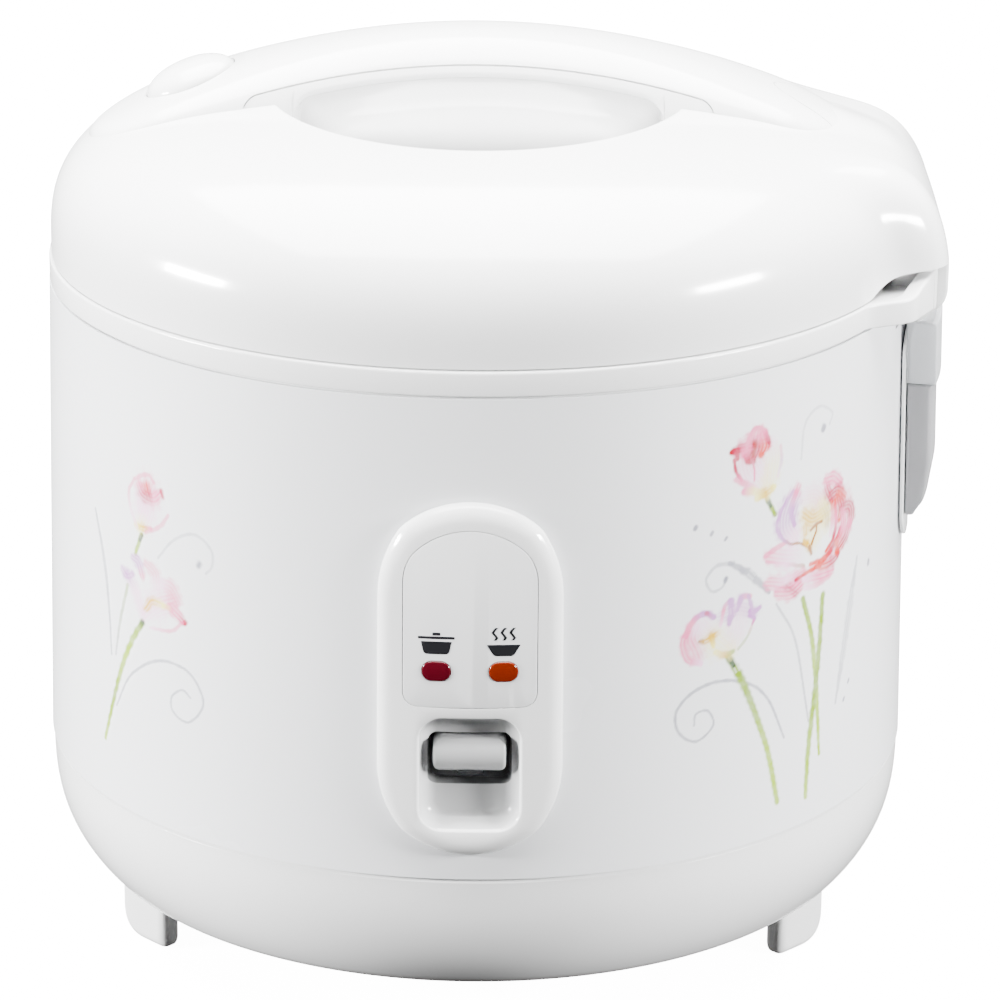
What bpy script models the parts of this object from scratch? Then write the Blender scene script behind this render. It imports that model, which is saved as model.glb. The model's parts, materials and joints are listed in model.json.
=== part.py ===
"""Jar-type rice cooker, 1.8 litre class, free standing.

Lengths are millimetres in this file and the mesh builders turn them into metres.
Coordinates are taken from the drum's axis and the floor: the control panel faces -Y,
the lid's hinge and the dew collector are at +X, and +Z is up.
"""
import math

import bmesh
import bpy
from mathutils import Matrix, Vector

MM = 0.001
GAP = 0.3
TURN = 36

# the drum's axis, seen from the middle of the whole object's footprint
AXIS_OFFSET = (-5.0, 2.0)

# outer shell, from the floor up
FOOT_HEIGHT = 13.0
BASE_SEAM_Z = 58.5
BASE_RADIUS = 132.2
BASE_ROUND_HEIGHT = 84.5
BASE_ROUND_POWER = 2.91
DRUM_TOP_Z = 203.1
DRUM_TOP_RADIUS = 130.0
DRUM_FLARE = 2.7
RING_TOP_Z = 211.0
LID_SEAM_Z = 211.5
LID_RADIUS = 129.2
LID_SPRING_Z = 215.2
LID_RISE = 46.4
LID_POWER_R = 3.083
LID_POWER_Z = 2.914
LID_WALL = 2.5

# hollow under the handle, and the handle's arch
WELL_RADIUS = 70.6
WELL_FLOOR_Z = 238.0
VENT = (0.0, -42.0)
CREST_Z = 278.5
CREST_CURVE = 0.0022
HANDLE_END = 108.0
GRIP_END = 69.5
LEG_INSIDE = 55.0

# hinge
HINGE = (131.0, 209.3)
BARREL_RADIUS = 11.5
BARREL_HALF = 37.0
EAR_INSIDE = 38.0
EAR_OUTSIDE = 45.5
PIN_RADIUS = 2.0
PIN_HOLE = 2.3

# cooking parts
PAN_RADIUS = 100.5
PAN_WALL = 1.5
PAN_BOTTOM_Z = 70.0
PAN_RIM_Z = 208.3
LINER_RADIUS = 104.4
PLATE_RADIUS = 84.0
PLATE_BOTTOM_Z = 58.0
LEVER_PIVOT = (-50.0, 36.6)

# front panel, measured on the drum's surface
PANEL_HALF = 26.0
PANEL_BOTTOM_Z = 67.6
PANEL_TOP_Z = 173.4
PANEL_DEPTH = 4.3
LAMP_X = 9.1
LAMP_Z = 124.5
SCOOP_Z = 93.1

# lid button, on the handle's sloping end
BUTTON_X = -87.0
BUTTON_RADIUS = 14.0
BUTTON_STEM = 4.0

# dew collector, measured on the drum's surface at +X
DEW_HALF = 30.0
DEW_BOTTOM_Z = 135.2
DEW_SPLIT_Z = 177.0
DEW_TOP_Z = 193.4

WHITE = (0.86, 0.86, 0.85, 1.0)
PEARL = (0.80, 0.81, 0.83, 1.0)
STEEL = (0.62, 0.62, 0.62, 1.0)
ALU = (0.75, 0.75, 0.76, 1.0)
DARK = (0.06, 0.06, 0.065, 1.0)


# ---------------------------------------------------------------- scene and materials

def clear_scene():
    for obj in list(bpy.data.objects):
        bpy.data.objects.remove(obj, do_unlink=True)


def material(name, colour, roughness=0.4, metallic=0.0, transmission=0.0):
    mat = bpy.data.materials.new(name)
    mat.use_nodes = True
    shader = mat.node_tree.nodes["Principled BSDF"]
    shader.inputs["Base Color"].default_value = colour
    shader.inputs["Roughness"].default_value = roughness
    shader.inputs["Metallic"].default_value = metallic
    shader.inputs["Transmission Weight"].default_value = transmission
    return mat


def finish(obj, colour, roughness=0.4, metallic=0.0, transmission=0.0, origin=(0, 0, 0)):
    """Give a part its material, its origin and smooth shading, and hang it on the cooker."""
    obj.data.materials.clear()
    obj.data.materials.append(material(obj.name, colour, roughness, metallic, transmission))
    start = Vector(origin) * MM
    obj.data.transform(Matrix.Translation(-start))
    obj.location = start
    obj.parent = bpy.data.objects["cooker"]
    obj.data.shade_smooth()
    obj.data.set_sharp_from_angle(angle=math.radians(35))
    return obj


# ---------------------------------------------------------------- mesh builders

def mesh_object(name, verts, faces):
    mesh = bpy.data.meshes.new(name)
    mesh.from_pydata([Vector(v) * MM for v in verts], [], faces)
    bm = bmesh.new()
    bm.from_mesh(mesh)
    bmesh.ops.recalc_face_normals(bm, faces=bm.faces)
    bm.to_mesh(mesh)
    bm.free()
    obj = bpy.data.objects.new(name, mesh)
    bpy.context.collection.objects.link(obj)
    return obj


def lathe(name, profile, centre=(0.0, 0.0), turn=TURN):
    """Turn a closed outline of (radius, z) points about a vertical axis."""
    verts, rings = [], []
    for radius, z in profile:
        ring = []
        for step in range(turn if radius > 1e-6 else 1):
            angle = 2 * math.pi * step / turn
            verts.append((centre[0] + radius * math.cos(angle),
                          centre[1] + radius * math.sin(angle), z))
            ring.append(len(verts) - 1)
        rings.append(ring)
    faces = []
    for low, high in zip(rings, rings[1:] + rings[:1]):
        if len(low) == 1 and len(high) == 1:
            continue
        for step in range(turn):
            after = (step + 1) % turn
            corners = [low[step % len(low)], low[after % len(low)],
                       high[after % len(high)], high[step % len(high)]]
            faces.append(list(dict.fromkeys(corners)))
    return mesh_object(name, verts, faces)


def loft(name, sections):
    """Skin a row of closed outlines with equal point counts, with both ends capped."""
    count = len(sections[0])
    verts = [point for section in sections for point in section]
    faces = [list(range(count))[::-1]]
    for row in range(len(sections) - 1):
        for step in range(count):
            after = (step + 1) % count
            faces.append([row * count + step, row * count + after,
                          (row + 1) * count + after, (row + 1) * count + step])
    faces.append([(len(sections) - 1) * count + step for step in range(count)])
    return mesh_object(name, verts, faces)


def prism(name, outline, low, high, axis="Z"):
    """Extrude an outline along an axis: (x, y) along Z, (x, z) along Y, (y, z) along X."""
    place = {"Z": lambda a, b, t: (a, b, t),
             "Y": lambda a, b, t: (a, t, b),
             "X": lambda a, b, t: (t, a, b)}[axis]
    return loft(name, [[place(a, b, t) for a, b in outline] for t in (low, high)])


def box(name, low, high):
    (x0, y0, z0), (x1, y1, z1) = low, high
    return prism(name, [(x0, y0), (x1, y0), (x1, y1), (x0, y1)], z0, z1)


def circle(radius, centre=(0.0, 0.0), turn=24):
    """A round outline, turned by half a step so that no corner lies on a seam of its host."""
    angles = [2 * math.pi * (step + 0.5) / turn for step in range(turn)]
    return [(centre[0] + radius * math.cos(a), centre[1] + radius * math.sin(a)) for a in angles]


def rounded_rect(half_a, half_b, corner, centre=(0.0, 0.0), steps=4):
    points = []
    for quarter, (side_a, side_b) in enumerate([(1, 1), (-1, 1), (-1, -1), (1, -1)]):
        for step in range(steps + 1):
            angle = math.pi / 2 * (quarter + step / steps)
            points.append((centre[0] + side_a * (half_a - corner) + corner * math.cos(angle),
                           centre[1] + side_b * (half_b - corner) + corner * math.sin(angle)))
    return points


def tube_along(name, path, radius, sides=8):
    """Sweep a round section along a path of points."""
    sections = []
    for index, point in enumerate(path):
        before = Vector(path[max(index - 1, 0)])
        ahead = (Vector(path[min(index + 1, len(path) - 1)]) - before).normalized()
        across = ahead.cross(Vector((0.13, 0.21, 0.97))).normalized()
        other = ahead.cross(across)
        ring = []
        for step in range(sides):
            angle = 2 * math.pi * step / sides
            ring.append(tuple(Vector(point) + across * radius * math.cos(angle)
                              + other * radius * math.sin(angle)))
        sections.append(ring)
    return loft(name, sections)


def coil(name, base, axis, radius, wire, length, turns, steps=12):
    """A helical spring whose axis is Y or Z and starts at the base point."""
    path = []
    for index in range(turns * steps + 1):
        angle = 2 * math.pi * index / steps
        along = length * index / (turns * steps)
        side = (radius * math.cos(angle), radius * math.sin(angle))
        if axis == "Z":
            path.append((base[0] + side[0], base[1] + side[1], base[2] + along))
        else:
            path.append((base[0] + side[0], base[1] + along, base[2] + side[1]))
    return tube_along(name, path, wire, sides=5)


def combine(obj, tool, operation):
    """Apply one exact Boolean and remove the tool."""
    modifier = obj.modifiers.new("combine", "BOOLEAN")
    modifier.operation = operation
    modifier.solver = "EXACT"
    modifier.object = tool
    graph = bpy.context.evaluated_depsgraph_get()
    mesh = bpy.data.meshes.new_from_object(obj.evaluated_get(graph))
    obj.modifiers.clear()
    old = obj.data
    obj.data = mesh
    bpy.data.meshes.remove(old)
    bpy.data.objects.remove(tool, do_unlink=True)
    return obj


def cut(obj, tool):
    return combine(obj, tool, "DIFFERENCE")


def join(obj, tool):
    return combine(obj, tool, "UNION")


def drum_radius(z):
    return DRUM_TOP_RADIUS + DRUM_FLARE * (DRUM_TOP_Z - z) / (DRUM_TOP_Z - BASE_SEAM_Z)


def wrap(obj, facing=-90.0, step=7.5):
    """Bend a flat piece round the drum.

    A flat piece has x across, -y out of the drum's surface and z up; facing is the
    direction in degrees, counter-clockwise from +X, that it looks out to.
    """
    bm = bmesh.new()
    bm.from_mesh(obj.data)
    half = max(abs(vert.co.x) for vert in bm.verts) / MM
    lines = int(half / step)
    for index in range(-lines, lines + 1):
        geometry = bm.verts[:] + bm.edges[:] + bm.faces[:]
        bmesh.ops.bisect_plane(bm, geom=geometry, dist=1e-7,
                               plane_co=(index * step * MM, 0, 0), plane_no=(1, 0, 0))
    bmesh.ops.triangulate(bm, faces=bm.faces)
    for vert in bm.verts:
        x, y, z = vert.co / MM
        angle = x / DRUM_TOP_RADIUS + math.radians(facing)
        radius = drum_radius(z) - y
        vert.co = Vector((radius * math.cos(angle), radius * math.sin(angle), z)) * MM
    bm.to_mesh(obj.data)
    bm.free()
    return obj


# ---------------------------------------------------------------- shared curves

def base_radius(z):
    fall = max(BASE_SEAM_Z - z, 0.0) / BASE_ROUND_HEIGHT
    return BASE_RADIUS * (1 - fall ** BASE_ROUND_POWER)


def dome_z(radius, inset=0.0):
    """Height of the lid's dome, or of a surface inside it."""
    span = LID_RADIUS - inset
    left = max(1 - (min(radius, span) / span) ** LID_POWER_R, 0.0)
    return LID_SPRING_Z + (LID_RISE - inset) * left ** (1 / LID_POWER_Z)


def dome_points(inner, inset=0.0, count=8):
    """Points down the dome from a radius to its foot, closer together at the shoulder."""
    span = LID_RADIUS - inset
    points = []
    for step in range(count + 1):
        share = math.sin(math.pi / 2 * step / count)
        radius = inner + (span - inner) * share
        points.append((radius, dome_z(radius, inset)))
    return points


def well_points(inset=0.0):
    """The hollow's surface from its middle to its lip."""
    lip = dome_z(WELL_RADIUS)
    return [(0.0, WELL_FLOOR_Z + inset), (54.0 - inset, WELL_FLOOR_Z + inset),
            (61.0 - inset, WELL_FLOOR_Z + 2.5 + inset), (66.0 - inset, WELL_FLOOR_Z + 8.0),
            (69.0 - inset, lip - 5.0), (WELL_RADIUS - inset, lip)]


def crest_z(x):
    return CREST_Z - CREST_CURVE * x * x


def lid_top_tool(name):
    """Everything below the lid's upper surface, with the gap that a neighbour keeps to it."""
    rim = [(radius, z + GAP) for radius, z in dome_points(WELL_RADIUS + GAP)]
    floor = [(radius, z + GAP) for radius, z in well_points(GAP)]
    return lathe(name, floor + rim + [(LID_RADIUS, 200.0), (0.0, 200.0)])


# ---------------------------------------------------------------- base and drum

def make_base_casing():
    outer = [(base_radius(z), z) for z in (57.6, 47.0, 39.0, 32.0, 26.5, 21.5)]
    inner = [(base_radius(z) - 2.8, z) for z in (27.0, 34.0, 45.0)]
    profile = [(131.2, BASE_SEAM_Z)] + outer
    profile += [(118.2, 20.0), (112.4, 17.3), (107.2, 15.0), (104.2, 14.0),
                (104.2, 16.2), (94.0, 16.2), (94.0, 18.4), (113.5, 19.8)]
    profile += inner + [(129.3, BASE_SEAM_Z), (129.3, 64.0), (131.0, 64.0)]
    casing = lathe("base_casing", profile)
    cut(casing, box("inlet_window", (-21.0, 100.0, 26.0), (21.0, 140.0, 50.0)))
    for x, y in screw_places():
        cut(casing, prism("screw_hole", circle(1.8, (x, y), 12), 15.0, 20.0))
    return finish(casing, WHITE, 0.22)


def screw_places():
    return [(98.5 * math.cos(a), 98.5 * math.sin(a))
            for a in (math.radians(90 + 120 * index) for index in range(3))]


def make_bottom_cover():
    cover = lathe("bottom_cover", [(0.0, 13.3), (103.6, 13.3), (103.6, 15.9), (0.0, 15.9)])
    for index in range(7):
        x = (index - 3) * 14.0
        slot = box("vent", (x - 2.0, 14.0, 12.0), (x + 2.0, 44.0, 17.0))
        cut(cover, slot)
    for x, y in screw_places():
        cut(cover, prism("screw_hole", circle(2.0, (x, y), 12), 12.0, 17.0))
    return finish(cover, WHITE, 0.45)


def make_screws():
    for index, (x, y) in enumerate(screw_places()):
        screw = prism(f"cover_screw_{index + 1}", circle(3.2, (x, y), 12), 11.2, 13.0)
        join(screw, prism("shank", circle(1.4, (x, y), 12), 12.0, 19.4))
        finish(screw, STEEL, 0.3, 1.0)


def make_feet():
    """Four feet, each a tongue that looks out across a corner and is round at its outer foot."""
    for name, side_x, side_y in (("foot_front_left", -1, -1), ("foot_front_right", 1, -1),
                                 ("foot_rear_left", -1, 1), ("foot_rear_right", 1, 1)):
        turned = []
        for step in range(7):
            angle = math.pi / 2 * step / 6
            turned.append((8.5 - 9.0 * (1 - math.sin(angle)), 9.0 * (1 - math.cos(angle))))
        outline = [(-11.5, 24.0), (-11.5, 1.2), (-10.3, 0.0), (-0.5, 0.0)] + turned[1:] + [(8.5, 24.0)]
        foot = prism(name, outline, -5.0, 2.5, "Y")
        turn = Matrix.Rotation(math.radians(45.0), 4, "Z")
        foot.data.transform(turn)
        foot.data.transform(Matrix.Translation(Vector((99.5, -45.5, 0.0)) * MM))
        foot.data.transform(Matrix.Diagonal((side_x, -side_y, 1.0, 1.0)))
        if side_x * -side_y < 0:
            foot.data.flip_normals()
        seat = [(base_radius(z) + GAP, z) for z in (47.0, 39.0, 32.0, 26.5, 21.5)]
        seat += [(118.2 + GAP, 19.8), (112.5, 17.0), (107.3, 14.7), (104.2, FOOT_HEIGHT),
                 (0.0, FOOT_HEIGHT), (0.0, 50.0)]
        cut(foot, lathe("seat", seat))
        finish(foot, WHITE, 0.3)


def make_outer_drum():
    low, high = BASE_SEAM_Z + 0.4, DRUM_TOP_Z
    profile = [(drum_radius(high), high), (drum_radius(low), low),
               (drum_radius(low) - 1.0, low), (drum_radius(high) - 1.0, high)]
    drum = lathe("outer_drum", profile)
    outline = rounded_rect(16.6, 19.9, 8.5, (0.0, SCOOP_Z))
    cut(drum, prism("switch_window", outline, -140.0, -110.0, "Y"))
    cut(drum, box("lamp_window", (-16.0, -140.0, 116.5), (16.0, -110.0, 129.0)))
    cut(drum, box("hinge_notch", (100.0, -50.0, 194.0), (140.0, 50.0, 210.0)))
    return finish(drum, PEARL, 0.25)


def make_top_ring():
    """Shoulder ring: it carries the pan's rim, the lid's catch and the two hinge ears."""
    profile = [(129.4, 203.5), (130.1, 204.6), (130.1, 209.8), (129.2, RING_TOP_Z),
               (112.3, RING_TOP_Z), (112.3, 208.0), (105.3, 208.0), (105.3, 205.2),
               (126.4, 205.2), (126.4, 196.5), (128.4, 196.5), (128.4, 203.5)]
    ring = lathe("top_ring", profile)
    flare = []
    for degrees in range(-20, 21, 4):
        angle = math.radians(degrees)
        rim = [(113.5, 194.4), (129.0, 194.4), (133.5, 196.5), (139.5, 202.0), (139.5, 206.0),
               (113.5, 206.0)]
        flare.append([(r * math.cos(angle), r * math.sin(angle), z) for r, z in rim])
    join(ring, loft("flare", flare))
    for side in (-1, 1):
        low, high = sorted((side * EAR_INSIDE, side * EAR_OUTSIDE))
        ear = prism("ear", circle(BARREL_RADIUS, HINGE, 32), low, high, "Y")
        limit = lathe("limit", [(100.0, 190.0), (142.8, 190.0), (142.8, 230.0), (100.0, 230.0)])
        join(ring, combine(ear, limit, "INTERSECT"))
    cut(ring, box("hinge_bay", (118.0, -EAR_INSIDE, 196.9), (170.0, EAR_INSIDE, 240.0)))
    cut(ring, prism("pin_hole", circle(PIN_HOLE, HINGE, 16), -60.0, 60.0, "Y"))
    cut(ring, box("catch_slot", (-126.0, -9.0, 190.0), (-112.6, 9.0, 220.0)))
    return finish(ring, WHITE, 0.22)


def make_hinge_pin():
    pin = prism("hinge_pin", circle(PIN_RADIUS, HINGE, 16), -EAR_OUTSIDE, EAR_OUTSIDE, "Y")
    return finish(pin, STEEL, 0.25, 1.0)


# ---------------------------------------------------------------- cooking parts

def make_inner_liner():
    inside = LINER_RADIUS - 1.0
    profile = [(111.5, 204.8), (111.5, 203.8), (LINER_RADIUS, 203.8), (LINER_RADIUS, 50.0),
               (40.0, 50.0), (40.0, 51.0), (inside, 51.0), (inside, 204.8)]
    return finish(lathe("inner_liner", profile), ALU, 0.35, 1.0)


def make_inner_pan():
    inside = PAN_RADIUS - PAN_WALL
    low = PAN_BOTTOM_Z
    profile = [(0.0, low), (88.0, low), (95.5, low + 2.2), (99.5, low + 7.0),
               (PAN_RADIUS, low + 13.0), (PAN_RADIUS, PAN_RIM_Z), (110.6, PAN_RIM_Z),
               (110.6, PAN_RIM_Z + PAN_WALL), (inside, PAN_RIM_Z + PAN_WALL),
               (inside, low + 13.4), (98.0, low + 8.2), (94.5, low + 3.6),
               (87.5, low + PAN_WALL), (0.0, low + PAN_WALL)]
    return finish(lathe("inner_pan", profile), (0.20, 0.20, 0.21, 1.0), 0.35, 0.6)


def make_heater():
    top = PAN_BOTTOM_Z - GAP
    low = PLATE_BOTTOM_Z
    profile = [(17.6, low), (51.8, low), (51.8, low + 5.2), (60.2, low + 5.2), (60.2, low),
               (PLATE_RADIUS, low), (PLATE_RADIUS, top - 2.0), (PLATE_RADIUS - 2.0, top),
               (17.6, top)]
    finish(lathe("heater_plate", profile, turn=32), ALU, 0.45, 1.0)
    ring = [(56.0 + 3.4 * math.cos(a), low + 1.4 + 3.4 * math.sin(a))
            for a in (2 * math.pi * step / 8 for step in range(8))]
    element = lathe("heating_element", ring, turn=32)
    for side in (-1, 1):
        join(element, prism("terminal", circle(1.6, (8.0 * side, 56.0), 10), low - 6.0, low + 1.0))
    finish(element, STEEL, 0.4, 1.0)
    for index in range(3):
        angle = math.radians(30 + 120 * index)
        place = (72.0 * math.cos(angle), 72.0 * math.sin(angle))
        post = prism(f"plate_post_{index + 1}", circle(3.0, place, 12), 51.0 + GAP, low - GAP)
        finish(post, STEEL, 0.4, 1.0)


def make_warm_heater():
    band = [(104.9, 112.0), (106.4, 112.0), (106.4, 136.0), (104.9, 136.0)]
    return finish(lathe("warm_heater_band", band), (0.62, 0.25, 0.16, 1.0), 0.6)


def make_thermostat():
    """The sprung feeler in the plate's middle, and the magnet that the key lifts to it."""
    housing = [(3.5, 47.8), (46.0, 47.8), (46.0, 49.6), (14.4, 49.6), (14.4, 61.0), (13.0, 61.0),
               (13.0, 49.6), (3.5, 49.6)]
    finish(lathe("thermostat_housing", housing, turn=24), STEEL, 0.35, 1.0)
    top = PAN_BOTTOM_Z - GAP
    cap = [(0.0, top), (0.0, top - 1.4), (15.2, top - 1.4), (15.2, 60.0), (16.9, 60.0),
           (16.9, top)]
    finish(lathe("sensor_cap", cap, turn=24), ALU, 0.35, 1.0, origin=(0, 0, 60.0))
    ferrite = [(0.0, 62.0), (7.5, 62.0), (7.5, top - 1.7), (0.0, top - 1.7)]
    finish(lathe("sensor_ferrite", ferrite, turn=24), DARK, 0.6, origin=(0, 0, 60.0))
    spring = coil("sensor_spring", (0, 0, 51.2), "Z", 11.0, 0.7, 14.7, 4, steps=10)
    finish(spring, STEEL, 0.3, 1.0)
    low = LEVER_PIVOT[1] + 1.8
    plunger = [(0.0, low), (3.0, low), (3.0, 52.0), (7.0, 52.0), (7.0, 56.0), (0.0, 56.0)]
    finish(lathe("magnet_plunger", plunger, turn=24), (0.25, 0.25, 0.27, 1.0), 0.4, 0.8,
           origin=(0, 0, low))


def make_trip_lever():
    """Rocking lever under the heater: the key pushes its front down and its back lifts the magnet."""
    y, z = LEVER_PIVOT
    lever = box("trip_lever", (-5.0, -122.5, z - 1.2), (5.0, 6.0, z + 1.3))
    join(lever, prism("hub", circle(4.2, LEVER_PIVOT, 16), -5.0, 5.0, "X"))
    cut(lever, prism("pivot", circle(1.8, LEVER_PIVOT, 12), -10.0, 10.0, "X"))
    finish(lever, STEEL, 0.35, 1.0, origin=(0, y, z))
    bracket = box("lever_bracket", (-12.0, y - 8.0, 16.2), (12.0, y + 8.0, 18.0))
    for side in (-1, 1):
        low, high = sorted((side * 5.6, side * 7.6))
        join(bracket, box("cheek", (low, y - 6.0, 17.0), (high, y + 6.0, z + 5.0)))
    cut(bracket, prism("pivot", circle(1.8, LEVER_PIVOT, 12), -10.0, 10.0, "X"))
    finish(bracket, STEEL, 0.4, 1.0)
    pin = prism("lever_pin", circle(1.5, LEVER_PIVOT, 12), -9.5, 9.5, "X")
    finish(pin, STEEL, 0.3, 1.0)


def make_electrics():
    switch = box("microswitch", (10.0, -90.0, 16.2), (21.0, -66.0, 29.0))
    join(switch, box("plunger", (10.0, -80.0, 28.5), (13.0, -76.0, 30.5)))
    finish(switch, DARK, 0.5)
    block = box("terminal_block", (-62.0, 34.0, 16.3), (-34.0, 52.0, 27.0))
    for index in range(3):
        x = -57.0 + 9.0 * index
        cut(block, prism("screw_well", circle(2.6, (x, 43.0), 10), 21.0, 30.0))
    finish(block, (0.82, 0.80, 0.72, 1.0), 0.5)
    fuse = prism("thermal_fuse", circle(2.2, (24.0, 47.3), 12), 58.0, 78.0, "X")
    finish(fuse, (0.75, 0.70, 0.55, 1.0), 0.4)
    board = box("lamp_board", (-15.5, -121.5, 114.0), (15.5, -120.0, 131.5))
    finish(board, (0.30, 0.42, 0.22, 1.0), 0.5)
    for name, side in (("cook_lamp", -1), ("warm_lamp", 1)):
        lamp = prism(name, circle(2.3, (side * LAMP_X, LAMP_Z), 12), -127.0, -121.9, "Y")
        finish(lamp, (0.9, 0.6, 0.4, 1.0), 0.1, transmission=0.8)


def make_inlet():
    """Appliance inlet in the back of the base, with its two contact pins."""
    outline = rounded_rect(19.5, 11.0, 3.0, (0.0, 38.0))
    socket = prism("inlet_socket", outline, 109.0, 140.0, "Y")
    heights = (57.6, 47.0, 39.0, 32.0, 26.5, 21.5)
    limit = [(base_radius(z), z) for z in heights] + [(90.0, heights[-1]), (90.0, heights[0])]
    combine(socket, lathe("limit", limit), "INTERSECT")
    cut(socket, prism("recess", rounded_rect(14.5, 7.5, 2.0, (0.0, 38.0)), 113.0, 140.0, "Y"))
    for side in (-1, 1):
        cut(socket, prism("hole", circle(2.4, (side * 7.0, 38.0), 12), 100.0, 120.0, "Y"))
    finish(socket, DARK, 0.45)
    for name, side in (("inlet_pin_left", -1), ("inlet_pin_right", 1)):
        pin = prism(name, circle(2.0, (side * 7.0, 38.0), 12), 104.0, 127.0, "Y")
        finish(pin, (0.78, 0.66, 0.38, 1.0), 0.25, 1.0)


# ---------------------------------------------------------------- front panel

def arched(half, low, high, rise_low, rise_high, soft, inset=0.0, steps=5):
    """Upright outline with straight sides, arcs for ends and softened corners between them."""
    points = []
    for end, rise, sign in ((high, rise_high, 1), (low, rise_low, -1)):
        reach, bow = half - inset, rise - inset
        radius = (reach ** 2 + bow ** 2) / (2 * bow)
        middle = end - sign * (inset + radius)
        spread = math.asin(min(reach / radius, 1.0)) if bow < reach else math.pi / 2
        spread -= soft / radius
        arc = [(radius * math.sin(a), middle + sign * radius * math.cos(a))
               for a in (spread * (1 - step / steps) for step in range(2 * steps + 1))]
        side = end - sign * (inset + bow + soft)
        row = [(reach, side)] + arc + [(-reach, side)]
        points += row if sign > 0 else [(x, z) for x, z in row[::-1]]
    return points


def make_panel():
    steps = ((0.0, GAP), (0.0, 1.6), (0.9, 3.1), (2.2, 4.0), (4.2, PANEL_DEPTH))
    sections = [[(x, -out, z) for x, z in
                 arched(PANEL_HALF, PANEL_BOTTOM_Z, PANEL_TOP_Z, 16.4, 17.6, 4.0, inset)]
                for inset, out in steps]
    bezel = loft("panel_bezel", sections)
    join(bezel, prism("boss", rounded_rect(16.1, 19.4, 8.0, (0.0, SCOOP_Z)), -2.0, 10.5, "Y"))
    cut(bezel, scoop_tool())
    cut(bezel, prism("pocket", rounded_rect(12.0, 7.9, 1.5, (0.0, 95.6)), -3.0, 8.5, "Y"))
    cut(bezel, box("slot", (-4.0, 8.0, 88.4), (4.0, 12.0, 99.0)))
    cut(bezel, label_prism("label_seat", 0.25, 3.0, 6.0))
    for side in (-1, 1):
        cut(bezel, lamp_prism("lamp_hole", side, 0.3, -1.0, 6.0))
    finish(wrap(bezel), WHITE, 0.25)

    label = label_prism("label_plate", 0.0, 3.3, PANEL_DEPTH)
    for side in (-1, 1):
        cut(label, lamp_prism("lamp_hole", side, 0.3, -1.0, 6.0))
    finish(wrap(label), (0.80, 0.80, 0.80, 1.0), 0.4)
    for name, side, colour in (("cook_lamp_lens", -1, (0.25, 0.01, 0.03, 1.0)),
                               ("warm_lamp_lens", 1, (0.55, 0.07, 0.01, 1.0))):
        finish(wrap(lamp_prism(name, side, 0.0, 0.8, PANEL_DEPTH + 0.3)), colour, 0.15,
               transmission=0.3)


def label_prism(name, grow, low, high):
    outline = arched(18.5, 113.5, 166.1, 0.6, 11.0, 3.0, -grow)
    return prism(name, outline, -high, -low, "Y")


def lamp_prism(name, side, grow, low, high):
    outline = rounded_rect(4.1 + grow, 3.2 + grow, 3.1 + grow, (side * LAMP_X, LAMP_Z))
    return prism(name, outline, -high, -low, "Y")


def scoop_tool():
    """Finger hollow round the key: steep sides that round into a flat floor."""
    steps = ((0.0, -PANEL_DEPTH - 0.6), (0.2, -2.6), (0.9, 0.6), (2.0, 2.0), (3.6, 2.6))
    return loft("scoop", [[(x, y, z) for x, z in
                           rounded_rect(13.7 - inset, 16.8 - inset, 6.0 - inset, (0.0, SCOOP_Z))]
                          for inset, y in steps])


def make_cook_key():
    """The key itself, and the steel link that carries its push down to the trip lever."""
    low, high = 93.0, 103.0
    middle = (low + high) / 2
    bulge = [(0.4 - 3.2 * math.cos(a), middle + 5.0 * math.sin(a))
             for a in (math.radians(-90 + 30 * step) for step in range(7))]
    outline = [(6.8, low)] + [(y, z) for y, z in bulge] + [(6.8, high)]
    key = prism("cook_key", outline, -10.4, 10.4, "X")
    key.data.transform(Matrix.Translation(Vector((0.0, -drum_radius(middle), 0.0)) * MM))
    join(key, box("arm", (-3.4, -126.5, 93.5), (3.4, -119.0, 98.0)))
    top = (0.0, -120.0, middle)
    finish(key, (0.72, 0.72, 0.72, 1.0), 0.35, origin=top)
    link = box("key_link", (-3.0, -118.7, 84.0), (3.0, -117.2, 99.0))
    join(link, box("step", (-3.0, -121.4, 84.0), (3.0, -117.2, 85.5)))
    foot = LEVER_PIVOT[1] + 1.9
    join(link, box("stem", (-3.0, -121.4, foot), (3.0, -119.9, 85.5)))
    finish(link, STEEL, 0.35, 1.0, origin=top)


# ---------------------------------------------------------------- lid

def housing_outline():
    """Side view of the lid's hinge housing, from the dome over to the barrel."""
    x0, z0 = HINGE
    back = [(x0 + BARREL_RADIUS * math.cos(a), z0 + BARREL_RADIUS * math.sin(a))
            for a in (math.radians(-15 * step) for step in range(13))]
    return [(111.0, 250.0), (118.0, 246.4), (126.0, 241.0), (133.0, 234.0), (138.5, 226.0),
            (142.0, 217.0)] + back + [(118.5, 216.0), (111.0, 216.0)]


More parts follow.
